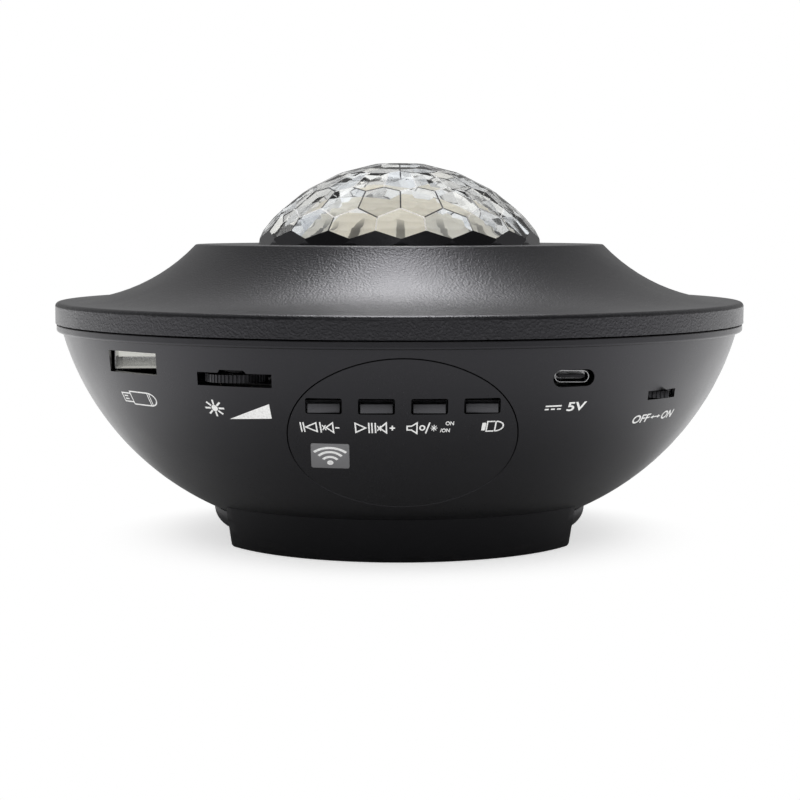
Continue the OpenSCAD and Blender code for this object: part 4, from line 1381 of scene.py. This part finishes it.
@dataclass
class TurnedNode(SoftenedNode):
    """A turned moulding whose shading follows its true section instead of its triangles."""

    edge: float = 0.0
    merge: float = 0.02
    arcs: tuple[SectionArc, ...] = ()
    rounds: tuple[SectionArc, ...] = ()
    rows: int = 7

    def regrid(self, shape: bmesh.types.BMesh) -> None:
        """Lays the faces of each outer quarter round anew in even rows.

        Args:
            shape: the merged copy of the node.
        """
        for arc in self.rounds:
            ring = {v for v in shape.verts if arc.covers(v.co)}
            old = [f for f in shape.faces if ring.issuperset(f.verts)]
            ends = [e for e in {e for f in old for e in f.edges} if any(f not in old for f in e.link_faces)]
            bmesh.ops.delete(shape, geom=old, context="FACES")
            made = bmesh.ops.bridge_loops(shape, edges=[e for e in ends if e.is_valid])
            rungs = [e for e in made["edges"] if abs(e.verts[0].co.z - e.verts[1].co.z) > arc.radius / 2 * MM]
            cut = bmesh.ops.subdivide_edges(shape, edges=rungs, cuts=self.rows, use_grid_fill=True)
            for vert in {v for v in cut["geom_inner"] if isinstance(v, bmesh.types.BMVert)}:
                arc.pull(vert)

    def build(self) -> bpy.types.Mesh:
        """Gives the merged copy the normals of its true faces.

        Returns:
            The mesh with its own normals.
        """
        mesh = super().build()
        spots = np.empty(len(mesh.vertices) * 3)
        mesh.vertices.foreach_get("co", spots)
        corners = np.empty(len(mesh.loops), np.int32)
        mesh.loops.foreach_get("vertex_index", corners)
        normals = np.empty(len(mesh.loops) * 3)
        mesh.corner_normals.foreach_get("vector", normals)
        faces = np.empty(len(mesh.polygons) * 3)
        mesh.polygons.foreach_get("normal", faces)
        sides = np.empty(len(mesh.polygons), np.int32)
        mesh.polygons.foreach_get("loop_total", sides)
        spots, normals = spots.reshape(-1, 3)[corners] / MM, normals.reshape(-1, 3)
        faces = np.repeat(faces.reshape(-1, 3), sides, axis=0)
        radius = np.maximum(np.hypot(spots[:, 0], spots[:, 1]), 1e-6)
        best = np.zeros(len(radius))
        for arc in self.arcs:
            on, out, up = arc.normals(radius, spots[:, 2])
            true = np.stack([out * spots[:, 0] / radius, out * spots[:, 1] / radius, up], axis=1)
            match = (true * faces).sum(axis=1)
            on &= (match > best) & (match > math.cos(math.radians(arc.spread)))
            normals[on], best[on] = true[on], match[on]
        mesh.normals_split_custom_set(normals)
        return mesh


# ---- print ----


@dataclass
class Stencil:
    """Flat artwork of one legend in millimetres: u to the right, v up."""

    faces: list[list[Point2]] = field(default_factory=list)

    def fill(self, *points: Point2) -> None:
        """Adds a filled shape."""
        self.faces.append(list(points))

    def disc(self, centre: Point2, radius: float, sides: int = 28) -> None:
        """Adds a filled circle."""
        self.faces.append(
            [(centre[0] + radius * math.cos(2 * math.pi * i / sides),
              centre[1] + radius * math.sin(2 * math.pi * i / sides)) for i in range(sides)]
        )

    def stroke(self, points: list[Point2], width: float, closed: bool = False) -> None:
        """Adds a line of even width with mitred corners.

        Args:
            points: the line's corners.
            width: its width.
            closed: whether its end joins its start.
        """
        count = len(points)
        sides: list[tuple[Vector, Vector]] = []
        for i, point in enumerate(points):
            here = Vector(point)
            before = Vector(points[i - 1]) if closed or i else None
            after = Vector(points[(i + 1) % count]) if closed or i < count - 1 else None
            ways = ((before, here), (here, after))
            steps = [(b - a).normalized() for a, b in ways if a is not None and b is not None]
            lean = sum(steps, Vector((0, 0))).normalized()
            across = Vector((-lean.y, lean.x))
            normal = Vector((-steps[0].y, steps[0].x))
            reach = width / 2 / max(0.35, across.dot(normal))
            sides.append((here + across * reach, here - across * reach))
        pairs = zip(sides, sides[1:] + sides[:1]) if closed else zip(sides, sides[1:])
        for (a, b), (c, d) in pairs:
            self.faces.append([tuple(a), tuple(b), tuple(d), tuple(c)])

    def arc(
        self, centre: Point2, radius: float, start: float, end: float, width: float, steps: int = 20
    ) -> None:
        """Adds a curved line between two angles in degrees."""
        angles = [math.radians(start + (end - start) * i / steps) for i in range(steps + 1)]
        x, y = centre
        self.stroke([(x + radius * math.cos(a), y + radius * math.sin(a)) for a in angles], width)

    def words(
        self, text: str, left: float, low: float, width: float, height: float, bold: float = 0.018
    ) -> None:
        """Adds plain letters, fitted to a box.

        Args:
            text: the letters.
            left: left edge of the box.
            low: foot of the capitals.
            width: width of the box.
            height: height of the capitals.
            bold: how far the outlines are moved out, as a share of the letters' size.
        """
        curve = bpy.data.curves.new("letters", "FONT")
        curve.body = text
        curve.offset = bold
        flat = bake(loose_object("letters", curve))
        xs = [v.co.x for v in flat.vertices]
        ys = [v.co.y for v in flat.vertices]
        wide, tall = max(xs) - min(xs), max(ys) - min(ys)
        for face in flat.polygons:
            spots = [flat.vertices[i].co for i in face.vertices]
            self.faces.append(
                [(left + (p.x - min(xs)) / wide * width, low + (p.y - min(ys)) / tall * height) for p in spots]
            )
        bpy.data.meshes.remove(flat)


class Lay(Enum):
    """How artwork follows the bowl's face."""

    RADIAL = "along the meridians"
    STRAIGHT = "square to the front"


@dataclass
class BowlFace:
    """The bowl's outer face, on which legends are printed."""

    arc_x: float = 22.06
    arc_z: float = 81.16
    arc_r: float = 78.74
    lift: float = 0.035
    thick: float = 0.06

    def profile(self, z: float, v: float) -> Point2:
        """Where the print lies in the half section.

        Args:
            z: height of the legend's anchor.
            v: distance up from it, along the curve.

        Returns:
            Radius and height.
        """
        along = math.asin((self.arc_z - z) / self.arc_r) - v / self.arc_r
        reach = self.arc_r + self.lift
        return self.arc_x + reach * math.cos(along), self.arc_z - reach * math.sin(along)

    def straight_spot(self, x: float, z: float, u: float, v: float) -> Vector:
        """A place over the face that is square to the front, in metres.

        Args:
            x: the anchor's place across the front.
            z: its height.
            u: distance to the right.
            v: distance up, along the curve.

        Returns:
            The point in space.
        """
        radius, height = self.profile(z, v)
        return Vector((x + u, -math.sqrt(radius**2 - (x + u) ** 2), height)) * MM

    def spot(self, heading: float, z: float, u: float, v: float) -> Vector:
        """A place on the face, in metres.

        Args:
            heading: degrees from the middle of the front, positive to the right.
            z: height of the legend's anchor.
            u: distance to the right along the circle.
            v: distance up along the curve.

        Returns:
            The point in space.
        """
        radius, height = self.profile(z, v)
        anchor_r = self.arc_x + self.arc_r * math.cos(math.asin((self.arc_z - z) / self.arc_r))
        turn = math.radians(heading) + u / anchor_r
        return Vector((radius * math.sin(turn), -radius * math.cos(turn), height)) * MM

    def print(self, name: str, art: Stencil, lay: Lay, anchor: float, z: float, rise: float = 0.0) -> None:
        """Lays artwork on the face as a thin skin of ink.

        Args:
            name: the piece's name.
            art: the artwork.
            lay: how the artwork follows the face.
            anchor: heading in degrees for a radial lay, or place in X for a straight one.
            z: height of the artwork's anchor.
            rise: how much the artwork climbs to the right.
        """
        to_face = self.spot if lay is Lay.RADIAL else self.straight_spot
        sheet = bmesh.new()
        for outline in art.faces:
            sheet.faces.new([sheet.verts.new((u, v, 0)) for u, v in outline])
        bmesh.ops.recalc_face_normals(sheet, faces=sheet.faces)
        for face in sheet.faces:
            if face.normal.z < 0:
                face.normal_flip()
        low = [min(v.co[axis] for v in sheet.verts) for axis in (0, 1)]
        high = [max(v.co[axis] for v in sheet.verts) for axis in (0, 1)]
        for axis in (0, 1):
            across = Vector((1, 0, 0)) if axis == 0 else Vector((0, 1, 0))
            for cut in range(math.ceil(low[axis]), math.floor(high[axis]) + 1):
                bmesh.ops.bisect_plane(
                    sheet, geom=sheet.verts[:] + sheet.edges[:] + sheet.faces[:],
                    plane_co=across * cut, plane_no=across, dist=1e-5,
                )
        bmesh.ops.triangulate(sheet, faces=[f for f in sheet.faces if len(f.verts) > 4])
        for vert in sheet.verts:
            vert.co = to_face(anchor, z, vert.co.x, vert.co.y + rise * vert.co.x)
        mesh = bpy.data.meshes.new(name)
        sheet.to_mesh(mesh)
        sheet.free()
        made = loose_object(f"{name}_flat", mesh)
        solid = made.modifiers.new("thickness", "SOLIDIFY")
        solid.thickness = self.thick * MM
        solid.offset = -1
        Piece(name, "housing", "socket_metal").place(bake(made), Stock.PRINT)


SIGN = 1.1  # weight of plus and minus signs against other lines


@dataclass
class KeyPen:
    """Draws one pictogram of the row under the buttons, on the row's common grid.

    The grid counts to the right and down; left is the pictogram's own start in it, anchor its place on the bowl
    in millimetres, and step a grid step across.
    """

    left: float
    anchor: float
    step: float
    line: float
    foot: float = 300
    rise: float = 3.47 / 76
    art: Stencil = field(default_factory=Stencil)

    def cell(self, x: float, y: float) -> Point2:
        """Grid units to millimetres."""
        return (self.anchor + (x - self.left) * self.step, (self.foot - y) * self.rise)

    def line_to(self, start: Point2, end: Point2, weight: float = 1.0) -> None:
        """A straight line between two grid points."""
        self.art.stroke([self.cell(*start), self.cell(*end)], self.line * weight)

    def bars(self, xs: tuple[float, ...], top: float, low: float) -> None:
        """Upright bars."""
        for x in xs:
            self.line_to((x, top), (x, low))

    def cross(self, left: float, right: float) -> None:
        """A slanting cross between two columns."""
        self.line_to((left, 284), (right, 318), 0.8)
        self.line_to((left, 318), (right, 284), 0.8)

    def outline(self, *corners: Point2) -> None:
        """A closed outline."""
        self.art.stroke([self.cell(*c) for c in corners], self.line, closed=True)


@dataclass
class Legends:
    """The generic pictograms printed beside the controls."""

    face: BowlFace = field(default_factory=BowlFace)
    line: float = 0.36
    key_z: float = 40.3

    def stick(self) -> Stencil:
        """A plug-in memory stick, seen from the side."""
        art = Stencil()
        w = self.line
        art.stroke([(4.0, -1.95), (-3.86, -1.95), (-3.86, 1.95), (4.0, 1.95)], w)
        cap = [(4.0 + 2.9 * math.sin(t), 1.95 * math.cos(t)) for t in [math.pi * i / 14 for i in range(15)]]
        art.stroke(cap, w)
        for x in (4.0, 4.75):
            art.stroke([(x, -1.75), (x, 1.75)], w * 0.8)
        art.stroke([(-3.86, 1.31), (-8.2, 1.31), (-8.2, -1.31), (-3.86, -1.31)], w)
        for y in (0.45, -0.45):
            art.stroke([(-7.4, y), (-5.6, y)], w)
        return art

    def sun(self) -> Stencil:
        """A sun with eight rays."""
        art = Stencil()
        art.disc((0, 0), 0.95)
        for i in range(8):
            a = math.pi * i / 4
            reach = (2.95 * math.cos(a), 2.5 * math.sin(a))
            art.stroke([(reach[0] * 0.42, reach[1] * 0.42), reach], 0.5)
        return art

    def wedge(self) -> Stencil:
        """A wedge that grows with the setting."""
        art = Stencil()
        art.fill((-6.33, -2.53), (6.09, -1.8), (6.28, 2.55))
        return art

    def power(self) -> Stencil:
        """Direct current at five volts."""
        art = Stencil()
        art.stroke([(0, 1.75), (4.6, 1.75)], 0.4)
        for x in (0, 1.75, 3.5):
            art.stroke([(x, 0.8), (x + 1.1, 0.8)], 0.4)
        art.words("5V", 6.4, 0, 5.6, 2.65)
        return art

    def switch(self) -> Stencil:
        """OFF and ON with a double arrow between them."""
        art = Stencil()
        art.words("OFF", 0, 0, 7.0, 2.65)
        art.stroke([(7.9, 1.3), (11.7, 1.3)], 0.34)
        art.fill((7.5, 1.3), (8.7, 0.75), (8.7, 1.85))
        art.fill((12.1, 1.3), (10.9, 1.85), (10.9, 0.75))
        art.words("ON", 12.9, 0, 5.6, 2.65)
        return art

    def back_key(self) -> Stencil:
        """Two bars and a back arrow, a bar, a cross and a horn, and a minus sign."""
        pen = KeyPen(125, -25.95, 0.0403, self.line)
        pen.bars((125, 144), 268, 334)
        pen.outline((156, 300), (226, 270), (226, 330))
        pen.bars((252,), 264, 336)
        pen.cross(264, 286)
        pen.outline((288, 300), (332, 268), (332, 334))
        pen.line_to((346, 301), (372, 301), SIGN)
        return pen.art

    def play_key(self) -> Stencil:
        """A forward arrow, three bars, a cross and a horn, and a plus sign."""
        pen = KeyPen(472, -12.04, 0.0403, self.line)
        pen.outline((476, 268), (540, 299), (476, 330))
        pen.bars((560, 579, 600), 264, 334)
        pen.cross(612, 634)
        pen.outline((628, 299), (668, 264), (668, 332))
        pen.line_to((688, 299), (722, 299), SIGN)
        pen.line_to((705, 283), (705, 295), SIGN)
        pen.line_to((705, 303), (705, 315), SIGN)
        return pen.art

    def light_key(self) -> Stencil:
        """A loudspeaker, a ring and a small star parted by a slash, and two small words."""
        pen = KeyPen(797, 0.96, 0.0403, self.line)
        pen.outline((799, 286), (826, 286), (860, 264), (860, 336), (826, 312), (799, 312))
        x, y = pen.cell(893, 298)
        turns = [2 * math.pi * i / 20 for i in range(20)]
        pen.art.stroke([(x + 0.6 * math.cos(a), y + 0.68 * math.sin(a)) for a in turns], self.line, closed=True)
        pen.line_to((915, 336), (938, 262))
        x, y = pen.cell(966, 300)
        for i in range(4):
            a = math.pi * i / 4
            dx, dy = 0.85 * math.cos(a), 1.0 * math.sin(a)
            pen.art.stroke([(x - dx, y - dy), (x + dx, y + dy)], self.line * 0.5)
        pen.art.words("ON", *pen.cell(1036, 282), 2.1, 1.2)
        pen.art.words("/ON", *pen.cell(1005, 330), 2.5, 1.2)
        return pen.art

    def source_key(self) -> Stencil:
        """Three short bars before a bracket and a half round."""
        pen = KeyPen(1265, 20.05, 0.0396, self.line)
        pen.bars((1267, 1275, 1283), 270, 322)
        corners = ((1346, 262), (1296, 262), (1296, 328), (1346, 328))
        pen.art.stroke([pen.cell(x, y) for x, y in corners], self.line)
        pen.bars((1352,), 264, 326)
        x, y = pen.cell(1352, 295)
        turns = [math.pi * i / 14 for i in range(15)]
        pen.art.stroke([(x + 2.1 * math.sin(t), y + 1.5 * math.cos(t)) for t in turns], self.line)
        return pen.art

    def dress(self) -> None:
        """Prints every legend in its place."""
        self.face.print("stick_mark", self.stick(), Lay.RADIAL, -48.5, 45.2)
        self.face.print("sun_mark", self.sun(), Lay.RADIAL, -31.5, 44.33)
        self.face.print("wedge_mark", self.wedge(), Lay.RADIAL, -25.2, 43.8)
        self.face.print("power_mark", self.power(), Lay.RADIAL, 23.0, 43.75)
        self.face.print("switch_mark", self.switch(), Lay.RADIAL, 42.9, 38.7, 0.03)
        keys = {
            "back_key_mark": self.back_key(), "play_key_mark": self.play_key(),
            "light_key_mark": self.light_key(), "source_key_mark": self.source_key(),
        }
        for name, art in keys.items():
            self.face.print(name, art, Lay.RADIAL, 0, self.key_z)


@dataclass
class WindowMark:
    """Three arcs and a dot on the receiver's window, laid straight on its curved face."""

    centre: Point2 = (-18.4, 32.4)
    line: float = 0.72
    face: BowlFace = field(default_factory=BowlFace)

    def art(self) -> Stencil:
        """The arcs, from their half widths, ends and tops."""
        art = Stencil()
        for half, end, top in ((4.1, 1.32, 2.87), (2.9, 0.0, 1.44), (1.8, -1.26, -0.29)):
            rise = top - end
            radius = (half * half + rise * rise) / (2 * rise)
            spread = math.degrees(math.asin(half / radius))
            art.arc((0, top - radius), radius, 90 + spread, 90 - spread, self.line)
        art.disc((0, -2.4), 0.82)
        return art

    def dress(self) -> None:
        """Prints the mark."""
        self.face.print("receiver_mark", self.art(), Lay.STRAIGHT, self.centre[0], self.centre[1])


# ---- carried-over nodes ----


@dataclass(frozen=True)
class Dressing:
    """Finishes for the construction nodes that stay as they are."""

    plan: dict[str, Stock]

    def dress(self) -> None:
        """Puts each finish in the material slots of its node."""
        for name, finish in self.plan.items():
            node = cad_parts[name]
            for place in node.material_slots:
                place.material = finish.material
            if not node.material_slots:
                node.data.materials.append(finish.material)
            LOG.info("%s: %s", name, finish.value.name)


CARRIED = Dressing(
    {
        "tact_switches": Stock.SWITCH,
        "potentiometer": Stock.BUTTON,
        "power_switch": Stock.SPRING,
        "usb_a_tongue": Stock.TONGUE_WHITE,
        "usb_c_tongue": Stock.TONGUE_BLACK,
        "ir_receiver": Stock.RECEIVER,
        "port_board": Stock.PORT_BOARD,
        "main_board": Stock.BOARD,
        "main_board_parts": Stock.PARTS,
        "foot_pads": Stock.RUBBER,
        "speaker_frame": Stock.PRESSED,
        "speaker_cone": Stock.PAPER,
        "speaker_magnet": Stock.FERRITE,
        "dome_retainer": Stock.INNER,
        "light_deck": Stock.DECK,
        "ripple_lens": Stock.LENS,
        "lens_gear": Stock.IVORY,
        "drive_pinion": Stock.IVORY,
        "gear_clip": Stock.SPRING,
        "motor_shaft": Stock.SHAFT,
        "gear_motor": Stock.MOTOR,
        "led_board": Stock.LED_BOARD,
        "led_emitters": Stock.PHOSPHOR,
        "heat_sink": Stock.ALUMINIUM,
        "laser_module": Stock.BARREL,
    }
)

BELLY = SectionArc((22.06, 81.16), 78.74)
SOFTENED = (
    TurnedNode("upper_shell", "housing", "black_housing", Stock.TOP, arcs=(
        SectionArc((97.5, 121.2), 52.3, -1), SectionArc((98.7, 67.6), 1.3, spread=70),
        SectionArc((59.22, 84.4), 0.8, spread=60), band(100), plateau(85.2)),
        rounds=(SectionArc((98.7, 67.6), 1.3),)),
    TurnedNode("lower_bowl", "housing", "black_bowl", Stock.BOWL, arcs=(
        BELLY, band(99.68), SectionArc((99.38, 62.3), 0.3, spread=60),
        SectionArc((99.08, 61.1), 0.6, spread=60), plateau(62.6))),
    TurnedNode("control_panel", "housing", "black_bowl", Stock.PANEL, arcs=(BELLY,)),
    TurnedNode("ir_window", "housing", "window_tint", Stock.WINDOW, arcs=(BELLY,)),
    TurnedNode("base_cover", "housing", "black_base", Stock.BASE, arcs=(
        band(54.7), SectionArc((49.2, 8.5), 5.5, spread=45), plateau(3, False))),
    SoftenedNode("button_previous", "previous_button", "button_grey", Stock.BUTTON),
    SoftenedNode("button_play", "play_button", "button_grey", Stock.BUTTON),
    SoftenedNode("button_light", "light_button", "button_grey", Stock.BUTTON),
    SoftenedNode("button_source", "source_button", "button_grey", Stock.BUTTON),
    SoftenedNode("power_knob", "power_slider", "wheel_black", Stock.KNOB, 0.1),
    SoftenedNode("usb_a_shell", "housing", "socket_metal", Stock.SOCKET, 0.1),
    SoftenedNode("usb_c_shell", "housing", "socket_metal", Stock.SOCKET, 0.08, 1),
)


# ---- stage ----


@dataclass
class Studio:
    """Camera, lamps, floor and surroundings."""

    lens: float = 85.56
    sensor: float = 36
    place: Point3 = (-0.00558, -0.5613, 0.09116)
    dip: float = 5.30
    heading: float = -0.588
    floor_r: float = 6.0
    floor_white: float = 0.86
    floor_grey: float = 0.3
    floor_glow: float = 0.55
    front_gloss: float = 0.5
    side_gloss: float = 0.65
    side_from: float = -0.95
    side_full: float = -0.3
    gloss_from: float = 40
    gloss_full: float = 190
    shadow_from: float = 56
    shadow_end: float = 95
    back_from: float = -0.7
    back_full: float = 0.45
    front_level: float = 0.08
    back_gloss: float = 0.36
    ambient: float = 0.85
    box_y: float = 0.42
    box_z: float = 1.05

    def camera(self) -> None:
        """Sets the camera in front of the controls, a little above the object's middle."""
        data = bpy.data.cameras.new("front_camera")
        data.lens = self.lens
        data.sensor_width = self.sensor
        data.clip_start = 0.01
        data.clip_end = 50
        made = loose_object("front_camera", data)
        made.location = self.place
        made.rotation_euler = (math.radians(90 - self.dip), 0, math.radians(self.heading))
        bpy.context.scene.camera = made

    def lamp(self, name: str, spot: Vector, aim: Vector, size: Point2, power: float) -> None:
        """Adds one soft lamp, which isn't seen through clear pieces.

        Args:
            name: the lamp's name.
            spot: where it is, in metres.
            aim: where it points.
            size: width and height of its face.
            power: its power in watts.
        """
        data = bpy.data.lights.new(name, "AREA")
        data.shape = "RECTANGLE"
        data.size, data.size_y = size
        data.energy = power
        made = loose_object(name, data)
        made.location = spot
        made.rotation_euler = (aim - spot).to_track_quat("-Z", "Y").to_euler()
        made.visible_transmission = False

    def flag(self, piece: bpy.types.Object) -> None:
        """Keeps the overhead box's own mirror image off a polished piece.

        Args:
            piece: the piece that the box leaves unlit.
        """
        flagged = bpy.data.collections.new("flagged_from_overhead_box")
        flagged.objects.link(piece)
        bpy.data.objects["overhead_box"].light_linking.receiver_collection = flagged
        flagged.collection_objects[0].light_linking.link_state = "EXCLUDE"

    def lamps(self) -> None:
        """A long box overhead, from over the object to behind it, and a weak fill in front."""
        aim = Vector((0, 0, 0.06))
        over, under = Vector((0, self.box_y, self.box_z)), Vector((0, self.box_y, 0))
        self.lamp("overhead_box", over, under, (0.34, 1.0), 7.8)
        self.lamp("front_fill", Vector((0, -1.3, 1.0)), aim, (1.0, 0.5), 2.0)

    def floor(self) -> None:
        """A white floor with the shadow round the foot; to gloss it is dim in front and bright beside."""
        grid = bmesh.new()
        bmesh.ops.create_circle(grid, cap_ends=True, radius=self.floor_r, segments=64)
        mesh = bpy.data.meshes.new("studio_floor")
        grid.to_mesh(mesh)
        grid.free()
        paint = bpy.data.materials.new("studio_floor_paint")
        g = ShaderGraph(paint)
        path = g.add("ShaderNodeLightPath")
        camera = g.out(path, "Is Camera Ray")
        clear = g.out(path, "Is Transmission Ray")
        gloss = g.out(path, "Is Glossy Ray")
        radius = g.radius()
        side = g.ramp(g.y / radius, self.side_from, self.side_full)
        far = g.ramp(radius, self.gloss_from * MM, self.gloss_full * MM)
        base = g.mix(gloss, (self.floor_white,) * 3, (self.floor_grey,) * 3)
        g.set(Base_Color=base, Roughness=1.0, Specular_IOR_Level=0.0)
        strength = camera * self.floor_glow + gloss * far * (self.front_gloss + side * self.side_gloss)
        glow = g.add("ShaderNodeEmission", Color=(1, 1, 1, 1), Strength=strength)
        near = g.add("ShaderNodeAddShader", _0=g.shader, _1=glow)
        white = g.add("ShaderNodeEmission", Color=(1, 1, 1, 1), Strength=1.0)
        away = g.ramp(radius, self.shadow_from * MM, self.shadow_end * MM)
        seen = g.math("MAXIMUM", camera, clear)
        shown = g.add("ShaderNodeMixShader", _0=seen * away, _1=near, _2=white)
        g.feed(g.surface.inputs["Surface"], shown)
        mesh.materials.append(paint)
        loose_object("studio_floor", mesh)

    def surroundings(self) -> None:
        """White to the camera; to gloss a bright top and back with a dim front."""
        world = bpy.data.worlds.new("studio")
        bpy.context.scene.world = world
        world.use_nodes = True
        g = Graph(world.node_tree)
        g.tree.nodes.clear()
        end = g.add("ShaderNodeOutputWorld")
        way = g.add("ShaderNodeSeparateXYZ", Vector=g.out(g.add("ShaderNodeTexCoord"), "Generated"))
        back = g.out(g.add(
            "ShaderNodeMapRange", {"interpolation_type": "SMOOTHSTEP"},
            Value=g.out(way, "Y"), From_Min=self.back_from, From_Max=self.back_full,
            To_Min=self.front_level, To_Max=1.0,
        ))
        path = g.add("ShaderNodeLightPath")
        camera = g.out(path, "Is Camera Ray")
        gloss, clear = g.out(path, "Is Glossy Ray"), g.out(path, "Is Transmission Ray")
        diffuse = (1 - camera) * (1 - g.math("MAXIMUM", gloss, clear))
        level = camera + clear * back + gloss * back * self.back_gloss + diffuse * self.ambient
        glow = g.add("ShaderNodeBackground", Color=(1, 1, 1, 1), Strength=level)
        g.feed(end.inputs["Surface"], glow)

    def build(self) -> None:
        """Sets the whole stage."""
        self.camera()
        self.lamps()
        self.floor()
        self.surroundings()
        bpy.context.scene.view_settings.view_transform = "Standard"


def main() -> None:
    """Builds the studio and every piece in order."""
    logging.basicConfig(level=logging.INFO, format="%(name)s %(message)s")
    studio = Studio()
    studio.build()
    CARRIED.dress()
    for soft in SOFTENED:
        soft.dress()
    studio.flag(CrystalDome().dress())
    Screws().dress()
    KnurledWheel().dress()
    Legends().dress()
    WindowMark().dress()


if __name__ == "__main__":
    main()
